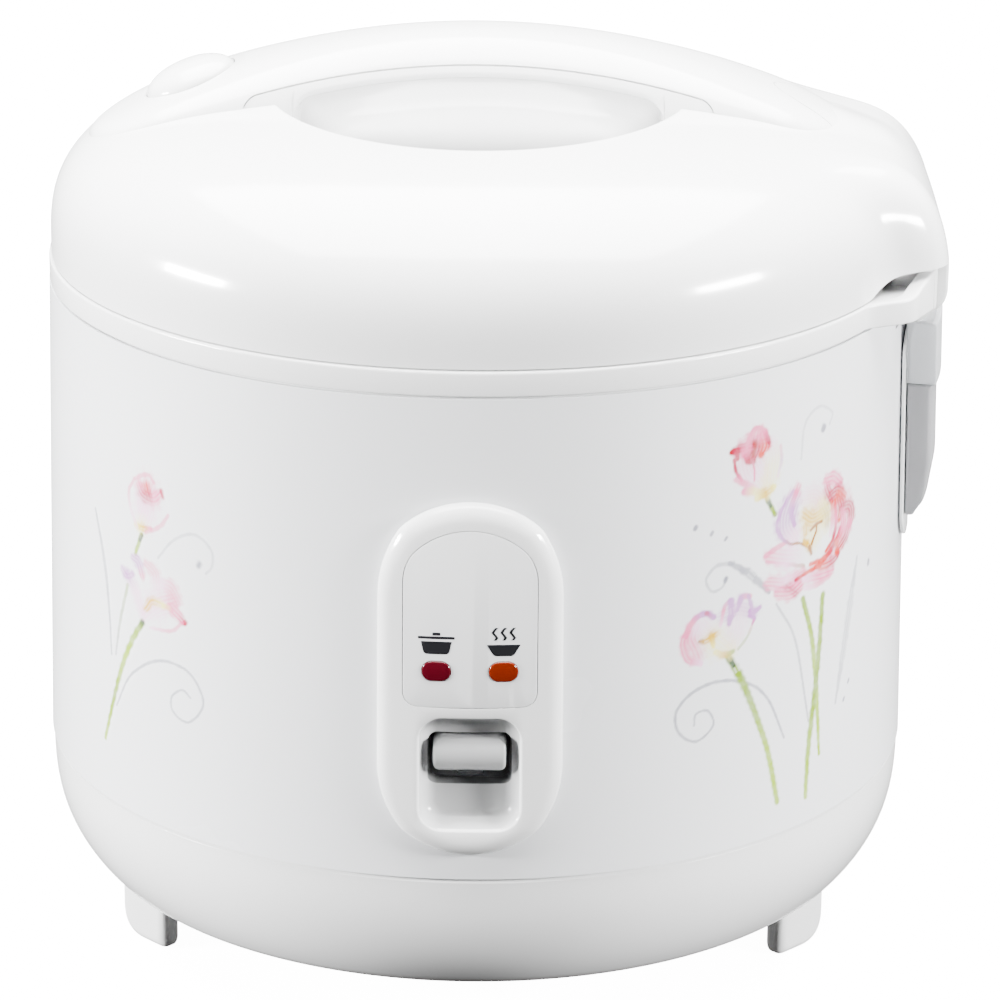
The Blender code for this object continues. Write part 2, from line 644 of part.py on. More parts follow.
def make_lid_shell():
    outer = dome_points(WELL_RADIUS + GAP)
    inner = dome_points(WELL_RADIUS + GAP, LID_WALL, count=6)
    shoulder = [(LID_RADIUS, LID_SEAM_Z), (LID_RADIUS - LID_WALL, LID_SEAM_Z)]
    shell = lathe("lid_shell", outer + shoulder + inner[::-1])
    join(shell, prism("housing", housing_outline(), -BARREL_HALF, BARREL_HALF, "Y"))
    for side in (-1, 1):
        low, high = sorted((side * BARREL_HALF, side * (EAR_OUTSIDE + 1.2)))
        cut(shell, prism("ear_room", circle(BARREL_RADIUS + 1.0, HINGE, 32), low, high, "Y"))
    cut(shell, prism("pin_hole", circle(PIN_HOLE, HINGE, 16), -60.0, 60.0, "Y"))
    cut(shell, prism("spring_room", circle(8.6, HINGE, 20), -13.0, 13.0, "Y"))
    cut(shell, box("spring_mouth", (125.0, -13.0, 190.0), (137.0, 13.0, 209.0)))
    cut(shell, button_prism("button_seat", BUTTON_RADIUS + 0.4, -5.2, 10.0))
    cut(shell, button_prism("stem_hole", 5.0, -30.0, 10.0))
    return finish(shell, WHITE, 0.18, origin=(HINGE[0], 0, HINGE[1]))


def make_hinge_spring():
    x, z = HINGE
    spring = coil("hinge_spring", (x, -11.0, z), "Y", 5.4, 0.8, 22.0, 6, steps=10)
    return finish(spring, STEEL, 0.3, 1.0, origin=(x, 0, z))


def make_lid_well():
    upper = well_points()
    lower = [(0.0, WELL_FLOOR_Z - 2.0), (55.0, WELL_FLOOR_Z - 2.0), (62.5, WELL_FLOOR_Z + 0.8),
             (67.8, WELL_FLOOR_Z + 6.8), (70.3, 253.0), (WELL_RADIUS, dome_z(WELL_RADIUS) - 1.2)]
    well = lathe("lid_well", upper + lower[::-1])
    cut(well, prism("vent_hole", circle(9.0, VENT, 16), 230.0, 245.0))
    return finish(well, WHITE, 0.25, origin=(HINGE[0], 0, HINGE[1]))


def band_half_width(x):
    """Half of the handle's width: waisted over the hollow and tapered at both ends."""
    waist = 1 - (min(abs(x), 72.0) / 72.0) ** 2
    taper = max(abs(x) - 88.0, 0.0) / (HANDLE_END - 88.0)
    return 26.5 - 3.6 * waist - 14.0 * taper ** 2


def band_arc(x, inset, count=8):
    """Points over the handle's top, from its front edge to its back edge."""
    high = crest_z(x) - inset
    low = min(dome_z(abs(x)), 262.0) - 3.0
    half = band_half_width(x) - inset
    points = []
    for step in range(count + 1):
        angle = math.pi * step / count
        side = -math.cos(angle)
        up = math.sin(angle)
        points.append((x, half * abs(side) ** 0.8 * math.copysign(1, side) if side else 0.0,
                       low + (high - low) * up ** 0.75))
    return points


def make_handle_cover():
    """The arched top of the handle, a channel that is open underneath."""
    sections = []
    for step in range(15):
        x = -HANDLE_END + 2 * HANDLE_END * step / 14
        sections.append(band_arc(x, 0.0) + band_arc(x, 2.4)[::-1])
    cover = loft("handle_cover", sections)
    cut(cover, parting_tool("parting", GAP / 2))
    cut(cover, lid_top_tool("lid_top"))
    cut(cover, button_prism("button_room", BUTTON_RADIUS + 0.4, -12.0, 12.0))
    return finish(cover, WHITE, 0.18, origin=(HINGE[0], 0, HINGE[1]))


def parting_z(x):
    """Height of the line between the handle's cover and its grip."""
    return crest_z(x) - 7.4 - 2.2 * (abs(x) / GRIP_END) ** 6


def parting_tool(name, grow):
    """Everything under the parting line, between the handle's two landings."""
    reach = GRIP_END + grow
    xs = [-reach + 2 * reach * step / 14 for step in range(15)]
    outline = [(x, parting_z(x) + grow) for x in xs] + [(reach, 225.0), (-reach, 225.0)]
    return prism(name, outline, -40.0, 40.0, "Y")


def make_handle_grip():
    """The handle's underside with its two legs, which stand in the hollow."""
    xs = [-GRIP_END + 2 * GRIP_END * step / 14 for step in range(15)]
    top = [(x, parting_z(x) - GAP / 2) for x in xs]
    under = [(x, crest_z(x) - 11.5) for x in
             (LEG_INSIDE, 44.0, 30.0, 15.0, 0.0, -15.0, -30.0, -44.0, -LEG_INSIDE)]
    outline = top + [(GRIP_END, 225.0), (LEG_INSIDE + 1.0, 225.0)] + under
    outline += [(-LEG_INSIDE - 1.0, 225.0), (-GRIP_END, 225.0)]
    grip = prism("handle_grip", outline, -27.0, 27.0, "Y")
    body = []
    for step in range(15):
        x = -GRIP_END - 1.0 + (2 * GRIP_END + 2.0) * step / 14
        section = [(x, y, z) for _, y, z in band_arc(x, 0.0)]
        body.append([(x, section[0][1], 220.0)] + section + [(x, section[-1][1], 220.0)])
    combine(grip, loft("body", body), "INTERSECT")
    cut(grip, lid_top_tool("lid_top"))
    return finish(grip, WHITE, 0.25, origin=(HINGE[0], 0, HINGE[1]))


def button_axis():
    """The button's centre on the handle's crest, and the direction that it stands out in."""
    slope = -2 * CREST_CURVE * BUTTON_X
    out = Vector((-slope, 0.0, 1.0)).normalized()
    return Vector((BUTTON_X, 0.0, crest_z(BUTTON_X))), out


def tilt(obj):
    """Stand a piece that was made on the Z axis along the button's own direction."""
    centre, out = button_axis()
    turn = Vector((0, 0, 1)).rotation_difference(out).to_matrix().to_4x4()
    obj.data.transform(Matrix.Translation(centre * MM) @ turn)
    return obj


def button_prism(name, radius, low, high):
    return tilt(prism(name, circle(radius, turn=32), low, high))


def make_open_button():
    crown = [(BUTTON_RADIUS * math.cos(a), -1.4 + 6.4 * math.sin(a))
             for a in (math.radians(15 * step) for step in range(6))]
    profile = [(0.0, -18.9), (BUTTON_STEM, -18.9), (BUTTON_STEM, -2.2), (BUTTON_RADIUS, -2.2)]
    button = tilt(lathe("open_button", profile + crown + [(0.0, 5.0)], turn=24))
    centre, _ = button_axis()
    return finish(button, WHITE, 0.12, origin=centre)


LATCH_PIVOT = (-101.0, 238.0)


def make_latch():
    """Catch lever: the button's stem pushes its inner arm down and its hook swings outwards."""
    x, z = LATCH_PIVOT
    outline = [(-76.0, 239.2), (-76.0, 242.4), (-99.0, 242.4), (-106.0, 241.0), (-119.8, 233.0),
               (-119.8, 201.5), (-113.4, 201.5), (-113.4, 204.0), (-116.8, 204.8),
               (-116.8, 230.0), (-104.0, 234.0), (-98.0, 234.4), (-96.0, 239.2)]
    hook = prism("latch_hook", outline, -6.0, 6.0, "Y")
    cut(hook, prism("pivot", circle(1.8, LATCH_PIVOT, 12), -10.0, 10.0, "Y"))
    finish(hook, (0.35, 0.35, 0.36, 1.0), 0.5, origin=(x, 0, z))
    pin = prism("latch_pin", circle(1.5, LATCH_PIVOT, 12), -11.0, 11.0, "Y")
    finish(pin, STEEL, 0.3, 1.0, origin=(HINGE[0], 0, HINGE[1]))
    spring = coil("latch_spring", (-84.0, 0.0, 225.9), "Z", 3.4, 0.5, 10.0, 4, steps=8)
    return finish(spring, STEEL, 0.3, 1.0, origin=(-84.0, 0.0, 225.4))


def make_lid_inside():
    """Frame that closes the lid from below, with the inner lid, its seal and its grommet."""
    origin = (HINGE[0], 0, HINGE[1])
    profile = [(0.0, 225.0), (104.0, 225.0), (109.0, 215.4), (126.2, 215.4), (126.2, 212.4),
               (108.6, 212.4), (104.5, 222.6), (4.0, 222.6), (4.0, 212.6), (0.0, 212.6)]
    frame = lathe("lid_inner_frame", profile)
    cut(frame, prism("vent_hole", circle(9.0, VENT, 16), 215.0, 230.0))
    cut(frame, box("latch_slot", (-128.0, -7.5, 205.0), (-108.0, 7.5, 230.0)))
    cut(frame, box("hinge_room", (110.0, -50.5, 205.0), (140.0, 50.5, 230.0)))
    finish(frame, (0.74, 0.75, 0.77, 1.0), 0.4, origin=origin)

    disc = [(9.2, 217.6), (60.0, 217.2), (96.0, 215.2), (100.2, 213.4), (100.2, 214.4),
            (96.2, 216.2), (60.0, 218.2), (9.2, 218.6)]
    inner = lathe("inner_lid", disc)
    for side in (-1, 0, 1):
        hole = circle(3.0, (side * 12.0, VENT[1]), 8)
        cut(inner, prism("steam_hole", hole, 210.0, 222.0))
    finish(inner, ALU, 0.3, 1.0, origin=origin)
    seal = [(100.6, 210.2), (106.6, 210.2), (107.6, 211.6), (106.0, 218.6), (100.6, 218.6)]
    finish(lathe("inner_lid_seal", seal), (0.70, 0.70, 0.68, 1.0), 0.7, origin=origin)
    grommet = [(4.4, 214.0), (10.8, 214.0), (10.8, 217.0), (8.8, 217.2), (8.8, 219.0),
               (10.6, 219.2), (9.0, 221.8), (4.4, 221.8)]
    finish(lathe("inner_lid_grommet", grommet, turn=24), (0.55, 0.55, 0.55, 1.0), 0.7,
           origin=origin)


def make_steam_vent():
    """Lift-off steam cap in front of the handle, standing in the hollow's vent hole."""
    low = WELL_FLOOR_Z + GAP
    profile = [(6.6, 229.5), (8.5, 229.5), (8.5, low), (11.5, low), (11.5, low + 3.4),
               (9.5, low + 5.0), (3.5, low + 5.4), (3.5, low + 3.6), (6.6, low + 3.2)]
    cap = lathe("steam_vent_cap", profile, centre=VENT, turn=24)
    return finish(cap, (0.80, 0.80, 0.80, 1.0), 0.3, origin=(*VENT, low))


# ---------------------------------------------------------------- dew collector

def make_dew_collector():
    """Back plate on the drum, and the cup with its clear upper part that pulls off it."""
    plate = prism("dew_bracket", rounded_rect(DEW_HALF + 0.6, 33.4, 9.0, (0.0, 160.2)),
                  -1.5, -GAP, "Y")
    finish(wrap(plate, 0.0), WHITE, 0.25)
    side = [(-1.8, DEW_BOTTOM_Z), (-5.0, 138.4), (-7.6, 146.4), (-9.3, 156.0), (-9.6, 162.0),
            (-9.6, DEW_SPLIT_Z), (-1.8, DEW_SPLIT_Z)]
    cup = prism("dew_cup", side, -DEW_HALF, DEW_HALF, "X")
    inside = [(-3.0, 140.0), (-4.4, 141.2), (-6.4, 148.0), (-8.2, 158.0), (-8.4, 164.0),
              (-8.4, 200.0), (-3.0, 200.0)]
    cut(cup, prism("inside", inside, -DEW_HALF + 3.0, DEW_HALF - 3.0, "X"))
    origin = (132.0, 0.0, 160.0)
    finish(wrap(cup, 0.0), (0.55, 0.55, 0.57, 1.0), 0.2, transmission=0.7, origin=origin)
    cover = box("dew_cover", (-DEW_HALF, -10.6, DEW_SPLIT_Z + GAP), (DEW_HALF, -1.8, DEW_TOP_Z))
    cut(cover, box("inside", (-DEW_HALF + 1.5, -9.2, 160.0), (DEW_HALF - 1.5, -3.0, 210.0)))
    finish(wrap(cover, 0.0), (0.88, 0.89, 0.90, 1.0), 0.12, transmission=0.85, origin=origin)


def build():
    clear_scene()
    empty = bpy.data.objects.new("cooker", None)
    bpy.context.collection.objects.link(empty)
    empty.location = Vector((AXIS_OFFSET[0], AXIS_OFFSET[1], 0.0)) * MM

    make_base_casing()
    make_bottom_cover()
    make_screws()
    make_feet()
    make_outer_drum()
    make_top_ring()
    make_hinge_pin()

    make_inner_liner()
    make_inner_pan()
    make_heater()
    make_warm_heater()
    make_thermostat()
    make_trip_lever()
    make_electrics()
    make_inlet()

    make_panel()
    make_cook_key()

    make_lid_shell()
    make_hinge_spring()
    make_lid_well()
    make_handle_cover()
    make_handle_grip()
    make_open_button()
    make_latch()
    make_lid_inside()
    make_steam_vent()
    make_dew_collector()


build()
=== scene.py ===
"""Looks of the rice cooker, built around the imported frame. Lengths are in mm from the drum's axis."""

import json
import math

import bmesh
import bpy
import numpy as np
from mathutils import Matrix, Vector


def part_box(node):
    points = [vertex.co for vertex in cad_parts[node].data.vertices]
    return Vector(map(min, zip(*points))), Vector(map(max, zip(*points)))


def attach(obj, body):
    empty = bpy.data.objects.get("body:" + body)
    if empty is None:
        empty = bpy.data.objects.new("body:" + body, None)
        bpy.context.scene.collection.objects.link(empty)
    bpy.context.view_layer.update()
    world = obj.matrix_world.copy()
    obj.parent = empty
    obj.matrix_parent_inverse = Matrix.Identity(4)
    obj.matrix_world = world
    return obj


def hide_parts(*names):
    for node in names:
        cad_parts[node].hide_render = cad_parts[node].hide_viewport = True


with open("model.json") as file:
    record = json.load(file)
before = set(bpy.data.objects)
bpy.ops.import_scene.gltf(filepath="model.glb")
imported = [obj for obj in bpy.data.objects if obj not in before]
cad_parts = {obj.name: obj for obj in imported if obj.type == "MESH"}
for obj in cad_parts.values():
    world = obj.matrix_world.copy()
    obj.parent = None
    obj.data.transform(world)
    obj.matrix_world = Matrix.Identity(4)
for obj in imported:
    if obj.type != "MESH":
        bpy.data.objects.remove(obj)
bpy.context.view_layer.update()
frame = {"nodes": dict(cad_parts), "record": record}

MM = 0.001
DRUM_LOW, DRUM_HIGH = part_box("outer_drum")
AXIS = np.array([(DRUM_LOW.x + DRUM_HIGH.x) / 2, (DRUM_LOW.y + DRUM_HIGH.y) / 2, 0.0])

# Lid
LID_RADIUS = 129.2
LID_SPRING_Z = 215.2
LID_RISE = 46.4
LID_POWER_R = 3.083
LID_POWER_Z = 2.914
LID_SEAM_Z = 211.5
WELL_RADIUS = 70.6
WELL_SQUEEZE = 0.889
WELL_FLOOR_Z = 238.0
VENT_Y = -42.0
HOUSING_AT = (112.0, 205.0)
HOUSING_HALF = (28.4, 42.0)
HOUSING_HALF_WIDE = 47.5
HOUSING_POWER = 2.4
RIDGE_RADIUS = 30.0
LID_WALL = 2.2
HINGE = (131.0, 209.3)
PIN_BORE = 2.3
PIN_RADIUS = 2.0
EAR_INSIDE = 38.0
EAR_OUTSIDE = 42.0
PIN_END = 41.0

# Handle
CREST_Z = 278.5
CREST_CURVE = 0.0022
GRIP_END = 69.5
LEG_INSIDE = 55.0
COVER_WALL = 2.0
BUTTON_X = -87.0
BUTTON_RADIUS = 14.0

# Body
BASE_SEAM_Z = 58.5
BASE_RADIUS = 132.2
DRUM_TOP_Z = 203.1
DRUM_TOP_RADIUS = 130.0
DRUM_FLARE = 2.7
RING_TOP_Z = 211.0
PANEL_HALF = 26.0
PANEL_DEPTH = 4.3
LAMP_X = 9.1
LAMP_Z = 124.5
SCOOP_Z = 93.1
DEW_HALF = 30.0

# Studio
SKY_BACK = 14.5
SKY_FRONT = 1.28
SKY_FRONT_LOW = 0.36
FLOOR_GLOW = 14.0


# ---------------------------------------------------------------- outlines

def rounded(corners, steps=5):
    """Closed outline from (a, b, radius) corners."""
    points = []
    count = len(corners)
    for index in range(count):
        here = np.array(corners[index][:2], float)
        radius = corners[index][2]
        before = np.array(corners[index - 1][:2], float) - here
        after = np.array(corners[(index + 1) % count][:2], float) - here
        if radius < 1e-6:
            points.append(tuple(here))
            continue
        long_before, long_after = np.linalg.norm(before), np.linalg.norm(after)
        before, after = before / long_before, after / long_after
        half = math.acos(max(-1.0, min(1.0, float(before @ after)))) / 2
        reach = min(radius / max(math.tan(half), 1e-3), 0.49 * long_before, 0.49 * long_after)
        start, end = here + before * reach, here + after * reach
        for step in range(steps + 1):
            t = step / steps
            points.append(tuple(start * (1 - t) ** 2 + 2 * here * t * (1 - t) + end * t * t))
    return points


def rounded_rect(half_a, half_b, corner, centre=(0.0, 0.0), steps=8):
    points = []
    for sx, sy, start in ((1, 1, 0), (-1, 1, 90), (-1, -1, 180), (1, -1, 270)):
        for step in range(steps + 1):
            angle = math.radians(start + 90 * step / steps)
            points.append((centre[0] + sx * (half_a - corner) + corner * math.cos(angle),
                           centre[1] + sy * (half_b - corner) + corner * math.sin(angle)))
    return points


def circle(radius, centre=(0.0, 0.0), turn=48):
    return [(centre[0] + radius * math.cos(2 * math.pi * (step + 0.5) / turn),
             centre[1] + radius * math.sin(2 * math.pi * (step + 0.5) / turn))
            for step in range(turn)]


def smoothstep(value, low, high):
    t = np.clip((np.asarray(value, float) - low) / (high - low), 0.0, 1.0)
    return t * t * (3 - 2 * t)


# ---------------------------------------------------------------- meshes

def make_object(name, verts, faces):
    mesh = bpy.data.meshes.new(name)
    points = np.asarray(verts, float) * MM + AXIS
    mesh.from_pydata(points.tolist(), [], [list(face) for face in faces])
    bm = bmesh.new()
    bm.from_mesh(mesh)
    bmesh.ops.recalc_face_normals(bm, faces=bm.faces)
    bm.to_mesh(mesh)
    bm.free()
    obj = bpy.data.objects.new(name, mesh)
    bpy.context.collection.objects.link(obj)
    return obj


def dress(obj, look, body, nodes=(), sharp=32.0):
    obj.data.shade_smooth()
    obj.data.set_sharp_from_angle(angle=math.radians(sharp))
    obj.data.materials.clear()
    obj.data.materials.append(look)
    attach(obj, body)
    if nodes:
        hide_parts(*nodes)
    return obj


def lathe(name, profile, centre=(0.0, 0.0), turn=192):
    """Turn a closed outline of (radius, z) points about a vertical axis."""
    verts, rings = [], []
    for radius, z in profile:
        ring = []
        for step in range(turn if radius > 1e-6 else 1):
            angle = 2 * math.pi * step / turn
            verts.append((centre[0] + radius * math.cos(angle),
                          centre[1] + radius * math.sin(angle), z))
            ring.append(len(verts) - 1)
        rings.append(ring)
    faces = []
    for low, high in zip(rings, rings[1:] + rings[:1]):
        if len(low) == 1 and len(high) == 1:
            continue
        for step in range(turn):
            after = (step + 1) % turn
            corners = [low[step % len(low)], low[after % len(low)],
                       high[after % len(high)], high[step % len(high)]]
            faces.append(list(dict.fromkeys(corners)))
    return make_object(name, verts, faces)


def loft(name, sections, closed=False):
    """Skin a row of closed outlines with equal point counts."""
    count = len(sections[0])
    rows = len(sections)
    verts = [point for section in sections for point in section]
    faces = []
    if not closed:
        faces.append(list(range(count))[::-1])
        faces.append([(rows - 1) * count + step for step in range(count)])
    for row in range(rows if closed else rows - 1):
        below, above = row * count, (row + 1) % rows * count
        for step in range(count):
            after = (step + 1) % count
            faces.append([below + step, below + after, above + after, above + step])
    return make_object(name, verts, faces)


PLACE = {"Z": lambda a, b, t: (a, b, t),
         "Y": lambda a, b, t: (a, t, b),
         "X": lambda a, b, t: (t, a, b)}


def prism(name, outline, low, high, axis="Z"):
    return loft(name, [[PLACE[axis](a, b, t) for a, b in outline] for t in (low, high)])


def soft_prism(name, outline_at, low, high, edge, axis="Z", steps=4, both=True):
    """A prism whose end edges are rounded; outline_at(inset) gives its outline."""
    levels = []
    for step in range(steps + 1):
        angle = math.pi / 2 * step / steps
        levels.append((edge * (1 - math.sin(angle)), low + edge * (1 - math.cos(angle))))
    if not both:
        levels = [(0.0, low)]
    for step in range(steps + 1):
        angle = math.pi / 2 * step / steps
        levels.append((edge * (1 - math.cos(angle)), high - edge * (1 - math.sin(angle))))
    return loft(name, [[PLACE[axis](a, b, t) for a, b in outline_at(inset)] for inset, t in levels])


def box(name, low, high):
    outline = [(low[0], low[1]), (high[0], low[1]), (high[0], high[1]), (low[0], high[1])]
    return prism(name, outline, low[2], high[2])


def combine(obj, tool, operation):
    modifier = obj.modifiers.new("combine", "BOOLEAN")
    modifier.operation = operation
    modifier.solver = "EXACT"
    modifier.object = tool
    bake(obj)
    bpy.data.objects.remove(tool, do_unlink=True)
    return obj


def bake(obj):
    """Apply the object's modifiers."""
    graph = bpy.context.evaluated_depsgraph_get()
    mesh = bpy.data.meshes.new_from_object(obj.evaluated_get(graph))
    obj.modifiers.clear()
    old = obj.data
    obj.data = mesh
    bpy.data.meshes.remove(old)
    return obj


def cut(obj, tool):
    return combine(obj, tool, "DIFFERENCE")


def join(obj, tool):
    return combine(obj, tool, "UNION")


def soften(obj, width, segments=3, angle=40.0):
    modifier = obj.modifiers.new("soften", "BEVEL")
    modifier.width = width * MM
    modifier.segments = segments
    modifier.limit_method = "ANGLE"
    modifier.angle_limit = math.radians(angle)
    return bake(obj)


def thicken(obj, wall):
    """Give a skin a wall, inwards."""
    modifier = obj.modifiers.new("wall", "SOLIDIFY")
    modifier.thickness = wall * MM
    modifier.offset = -1.0
    return bake(obj)


def drum_radius(z):
    return DRUM_TOP_RADIUS + DRUM_FLARE * (DRUM_TOP_Z - z) / (DRUM_TOP_Z - BASE_SEAM_Z)


def wrap(obj, facing=-90.0, step=1.6):
    """Bend a flat piece round the drum: x across, -y out of the surface, z up."""
    bm = bmesh.new()
    bm.from_mesh(obj.data)
    half = max(abs(vert.co.x - AXIS[0]) for vert in bm.verts) / MM
    lines = int(half / step)
    for index in range(-lines, lines + 1):
        geometry = bm.verts[:] + bm.edges[:] + bm.faces[:]
        bmesh.ops.bisect_plane(bm, geom=geometry, dist=1e-7,
                               plane_co=(AXIS[0] + index * step * MM, 0, 0), plane_no=(1, 0, 0))
    for vert in bm.verts:
        x, y, z = [(c - a) / MM for c, a in zip(vert.co, AXIS)]
        angle = x / DRUM_TOP_RADIUS + math.radians(facing)
        radius = drum_radius(z) - y
        vert.co = Vector((radius * math.cos(angle) * MM + AXIS[0],
                          radius * math.sin(angle) * MM + AXIS[1], z * MM))
    bm.to_mesh(obj.data)
    bm.free()
    return obj


# ---------------------------------------------------------------- looks

def tint(graph, colour, amount, scale):
    """The colour with a slow, faint mottle, as in a real moulding."""
    nodes, links = graph.nodes, graph.links
    place = nodes.new("ShaderNodeTexCoord")
    noise = nodes.new("ShaderNodeTexNoise")
    noise.inputs["Scale"].default_value = scale
    noise.inputs["Detail"].default_value = 3.0
    links.new(place.outputs["Object"], noise.inputs["Vector"])
    ramp = nodes.new("ShaderNodeMapRange")
    ramp.inputs["To Min"].default_value = 1.0 - amount
    ramp.inputs["To Max"].default_value = 1.0 + amount
    links.new(noise.outputs["Fac"], ramp.inputs["Value"])
    mix = nodes.new("ShaderNodeVectorMath")
    mix.operation = "SCALE"
    mix.inputs[0].default_value = colour[:3]
    links.new(ramp.outputs["Result"], mix.inputs["Scale"])
    return mix.outputs["Vector"], noise.outputs["Fac"]


def plastic(name, colour, roughness=0.2, coat=0.0, bump=0.02, grain=900.0, sss=0.0, metallic=0.0,
            transmission=0.0, spread=0.04, mottle=0.012):
    """Moulded or metal surface: faint mottle, uneven gloss and a fine surface grain."""
    look = bpy.data.materials.new(name)
    look.use_nodes = True
    graph = look.node_tree
    nodes, links = graph.nodes, graph.links
    shader = nodes["Principled BSDF"]
    tone, cloud = tint(graph, colour, mottle, 14.0)
    links.new(tone, shader.inputs["Base Color"])
    gloss = nodes.new("ShaderNodeMapRange")
    gloss.inputs["To Min"].default_value = max(roughness - spread, 0.02)
    gloss.inputs["To Max"].default_value = roughness + spread
    links.new(cloud, gloss.inputs["Value"])
    links.new(gloss.outputs["Result"], shader.inputs["Roughness"])
    shader.inputs["Metallic"].default_value = metallic
    shader.inputs["Coat Weight"].default_value = coat
    shader.inputs["Coat Roughness"].default_value = 0.06
    shader.inputs["Transmission Weight"].default_value = transmission
    shader.inputs["Subsurface Weight"].default_value = sss
    shader.inputs["Subsurface Radius"].default_value = (0.004, 0.004, 0.004)
    shader.inputs["IOR"].default_value = 1.49
    place = nodes.new("ShaderNodeTexCoord")
    fine = nodes.new("ShaderNodeTexNoise")
    fine.inputs["Scale"].default_value = grain
    links.new(place.outputs["Object"], fine.inputs["Vector"])
    relief = nodes.new("ShaderNodeBump")
    relief.inputs["Strength"].default_value = bump
    relief.inputs["Distance"].default_value = 0.0004
    links.new(fine.outputs["Fac"], relief.inputs["Height"])
    links.new(relief.outputs["Normal"], shader.inputs["Normal"])
    return look


def clear(name, colour, roughness, spread, transmission=1.0):
    """Transparent plastic that is tinted a little more in some places."""
    return plastic(name, colour, roughness, bump=0.01, transmission=transmission, mottle=0.02,
                   spread=spread)


WHITE = plastic("gloss_white", (0.865, 0.868, 0.868), 0.17, coat=0.25, bump=0.012)
WHITE_SATIN = plastic("satin_white", (0.84, 0.843, 0.845), 0.38, bump=0.05)
PEARL = plastic("pearl_paint", (0.835, 0.845, 0.862), 0.26, coat=0.35, bump=0.03, grain=2600.0)
PANEL_GREY = plastic("panel_face", (0.79, 0.795, 0.80), 0.32, bump=0.03)
KEY_GREY = plastic("key_satin", (0.44, 0.445, 0.45), 0.28, bump=0.03)
# Painted shade: the key's pocket is the bezel's white plastic, coloured dark grey to stand for the shade
# deep inside it.
POCKET_PAINTED_SHADE = plastic("pocket_painted_shade", (0.26, 0.265, 0.267), 0.5, bump=0.04)
# Painted shade: the finger hollow is the bezel's white plastic, coloured light grey to stand for the shade
# inside it.
SCOOP_PAINTED_SHADE = plastic("scoop_painted_shade", (0.66, 0.664, 0.668), 0.24, coat=0.2, bump=0.012)
RED = plastic("red_lens", (0.07, 0.002, 0.007), 0.14, coat=0.3, bump=0.01)
AMBER = plastic("amber_lens", (0.15, 0.012, 0.002), 0.14, coat=0.3, bump=0.01)
INK = plastic("ink", (0.008, 0.008, 0.010), 0.4, bump=0.02)
ALUMINIUM = plastic("satin_aluminium", (0.72, 0.73, 0.74), 0.3, metallic=1.0, bump=0.06, grain=1800.0)
STEEL = plastic("plated_steel", (0.58, 0.58, 0.59), 0.28, metallic=1.0, bump=0.05)
PAN_COAT = plastic("pan_coating", (0.10, 0.10, 0.105), 0.36, metallic=0.5, bump=0.15, grain=3200.0)
GREY_PART = plastic("grey_moulding", (0.66, 0.67, 0.69), 0.36, bump=0.04)
BLACK_PART = plastic("black_moulding", (0.035, 0.035, 0.038), 0.42, bump=0.05)
SILICONE = plastic("silicone", (0.60, 0.60, 0.585), 0.55, bump=0.05, sss=0.2)
BRASS = plastic("brass", (0.75, 0.60, 0.30), 0.25, metallic=1.0, bump=0.03)
CERAMIC = plastic("ceramic", (0.80, 0.77, 0.68), 0.5, bump=0.05)
BOARD = plastic("board_green", (0.10, 0.22, 0.08), 0.45, bump=0.03)
BAND = plastic("heater_band", (0.50, 0.17, 0.10), 0.6, bump=0.08)


def printed(name):
    """Washed colour under the drum's clear coat, thinner in some places than in others."""
    look = plastic(name, (0.835, 0.845, 0.862), 0.26, coat=0.35, bump=0.03, grain=2600.0)
    graph = look.node_tree
    nodes, links = graph.nodes, graph.links
    shader = nodes["Principled BSDF"]
    under = shader.inputs["Base Color"].links[0].from_socket
    ink = nodes.new("ShaderNodeAttribute")
    ink.attribute_name = "tint"
    place = nodes.new("ShaderNodeTexCoord")
    wash = nodes.new("ShaderNodeTexNoise")
    wash.inputs["Scale"].default_value = 260.0
    wash.inputs["Detail"].default_value = 4.0
    links.new(place.outputs["Object"], wash.inputs["Vector"])
    share = nodes.new("ShaderNodeMapRange")
    share.inputs["From Min"].default_value = 0.35
    share.inputs["From Max"].default_value = 0.7
    share.inputs["To Min"].default_value = 1.0
    share.inputs["To Max"].default_value = 0.82
    links.new(wash.outputs["Fac"], share.inputs["Value"])
    mix = nodes.new("ShaderNodeMixRGB")
    links.new(share.outputs["Result"], mix.inputs["Fac"])
    links.new(under, mix.inputs["Color1"])
    links.new(ink.outputs["Color"], mix.inputs["Color2"])
    links.new(mix.outputs["Color"], shader.inputs["Base Color"])
    return look


PRINT_INK = printed("flower_ink")
LAMP = clear("lamp_glass", (0.95, 0.7, 0.5), 0.06, 0.02)
# Painted shade: the lid's well is the lid's white plastic, coloured darker to stand for the shade in the
# hollow.
WELL_PAINTED_SHADE = plastic("well_painted_shade", (0.53, 0.532, 0.532), 0.2, coat=0.2, bump=0.012)
CLEAR = clear("clear_cover", (0.67, 0.68, 0.695), 0.28, 0.05, 0.5)
SMOKE = clear("smoke_cup", (0.34, 0.34, 0.352), 0.42, 0.05, 0.25)


# ---------------------------------------------------------------- lid

def dome_z(radius):
    left = np.clip(1 - (np.minimum(radius, LID_RADIUS) / LID_RADIUS) ** LID_POWER_R, 0.0, None)
    return LID_SPRING_Z + LID_RISE * left ** (1 / LID_POWER_Z)


def crest_z(x):
    return CREST_Z - CREST_CURVE * x * x


def blend_low(a, b, width):
    share = np.clip(0.5 + 0.5 * (b - a) / width, 0.0, 1.0)
    return b * (1 - share) + a * share - width * share * (1 - share)


def blend_high(a, b, width):
    return -blend_low(-a, -b, width)


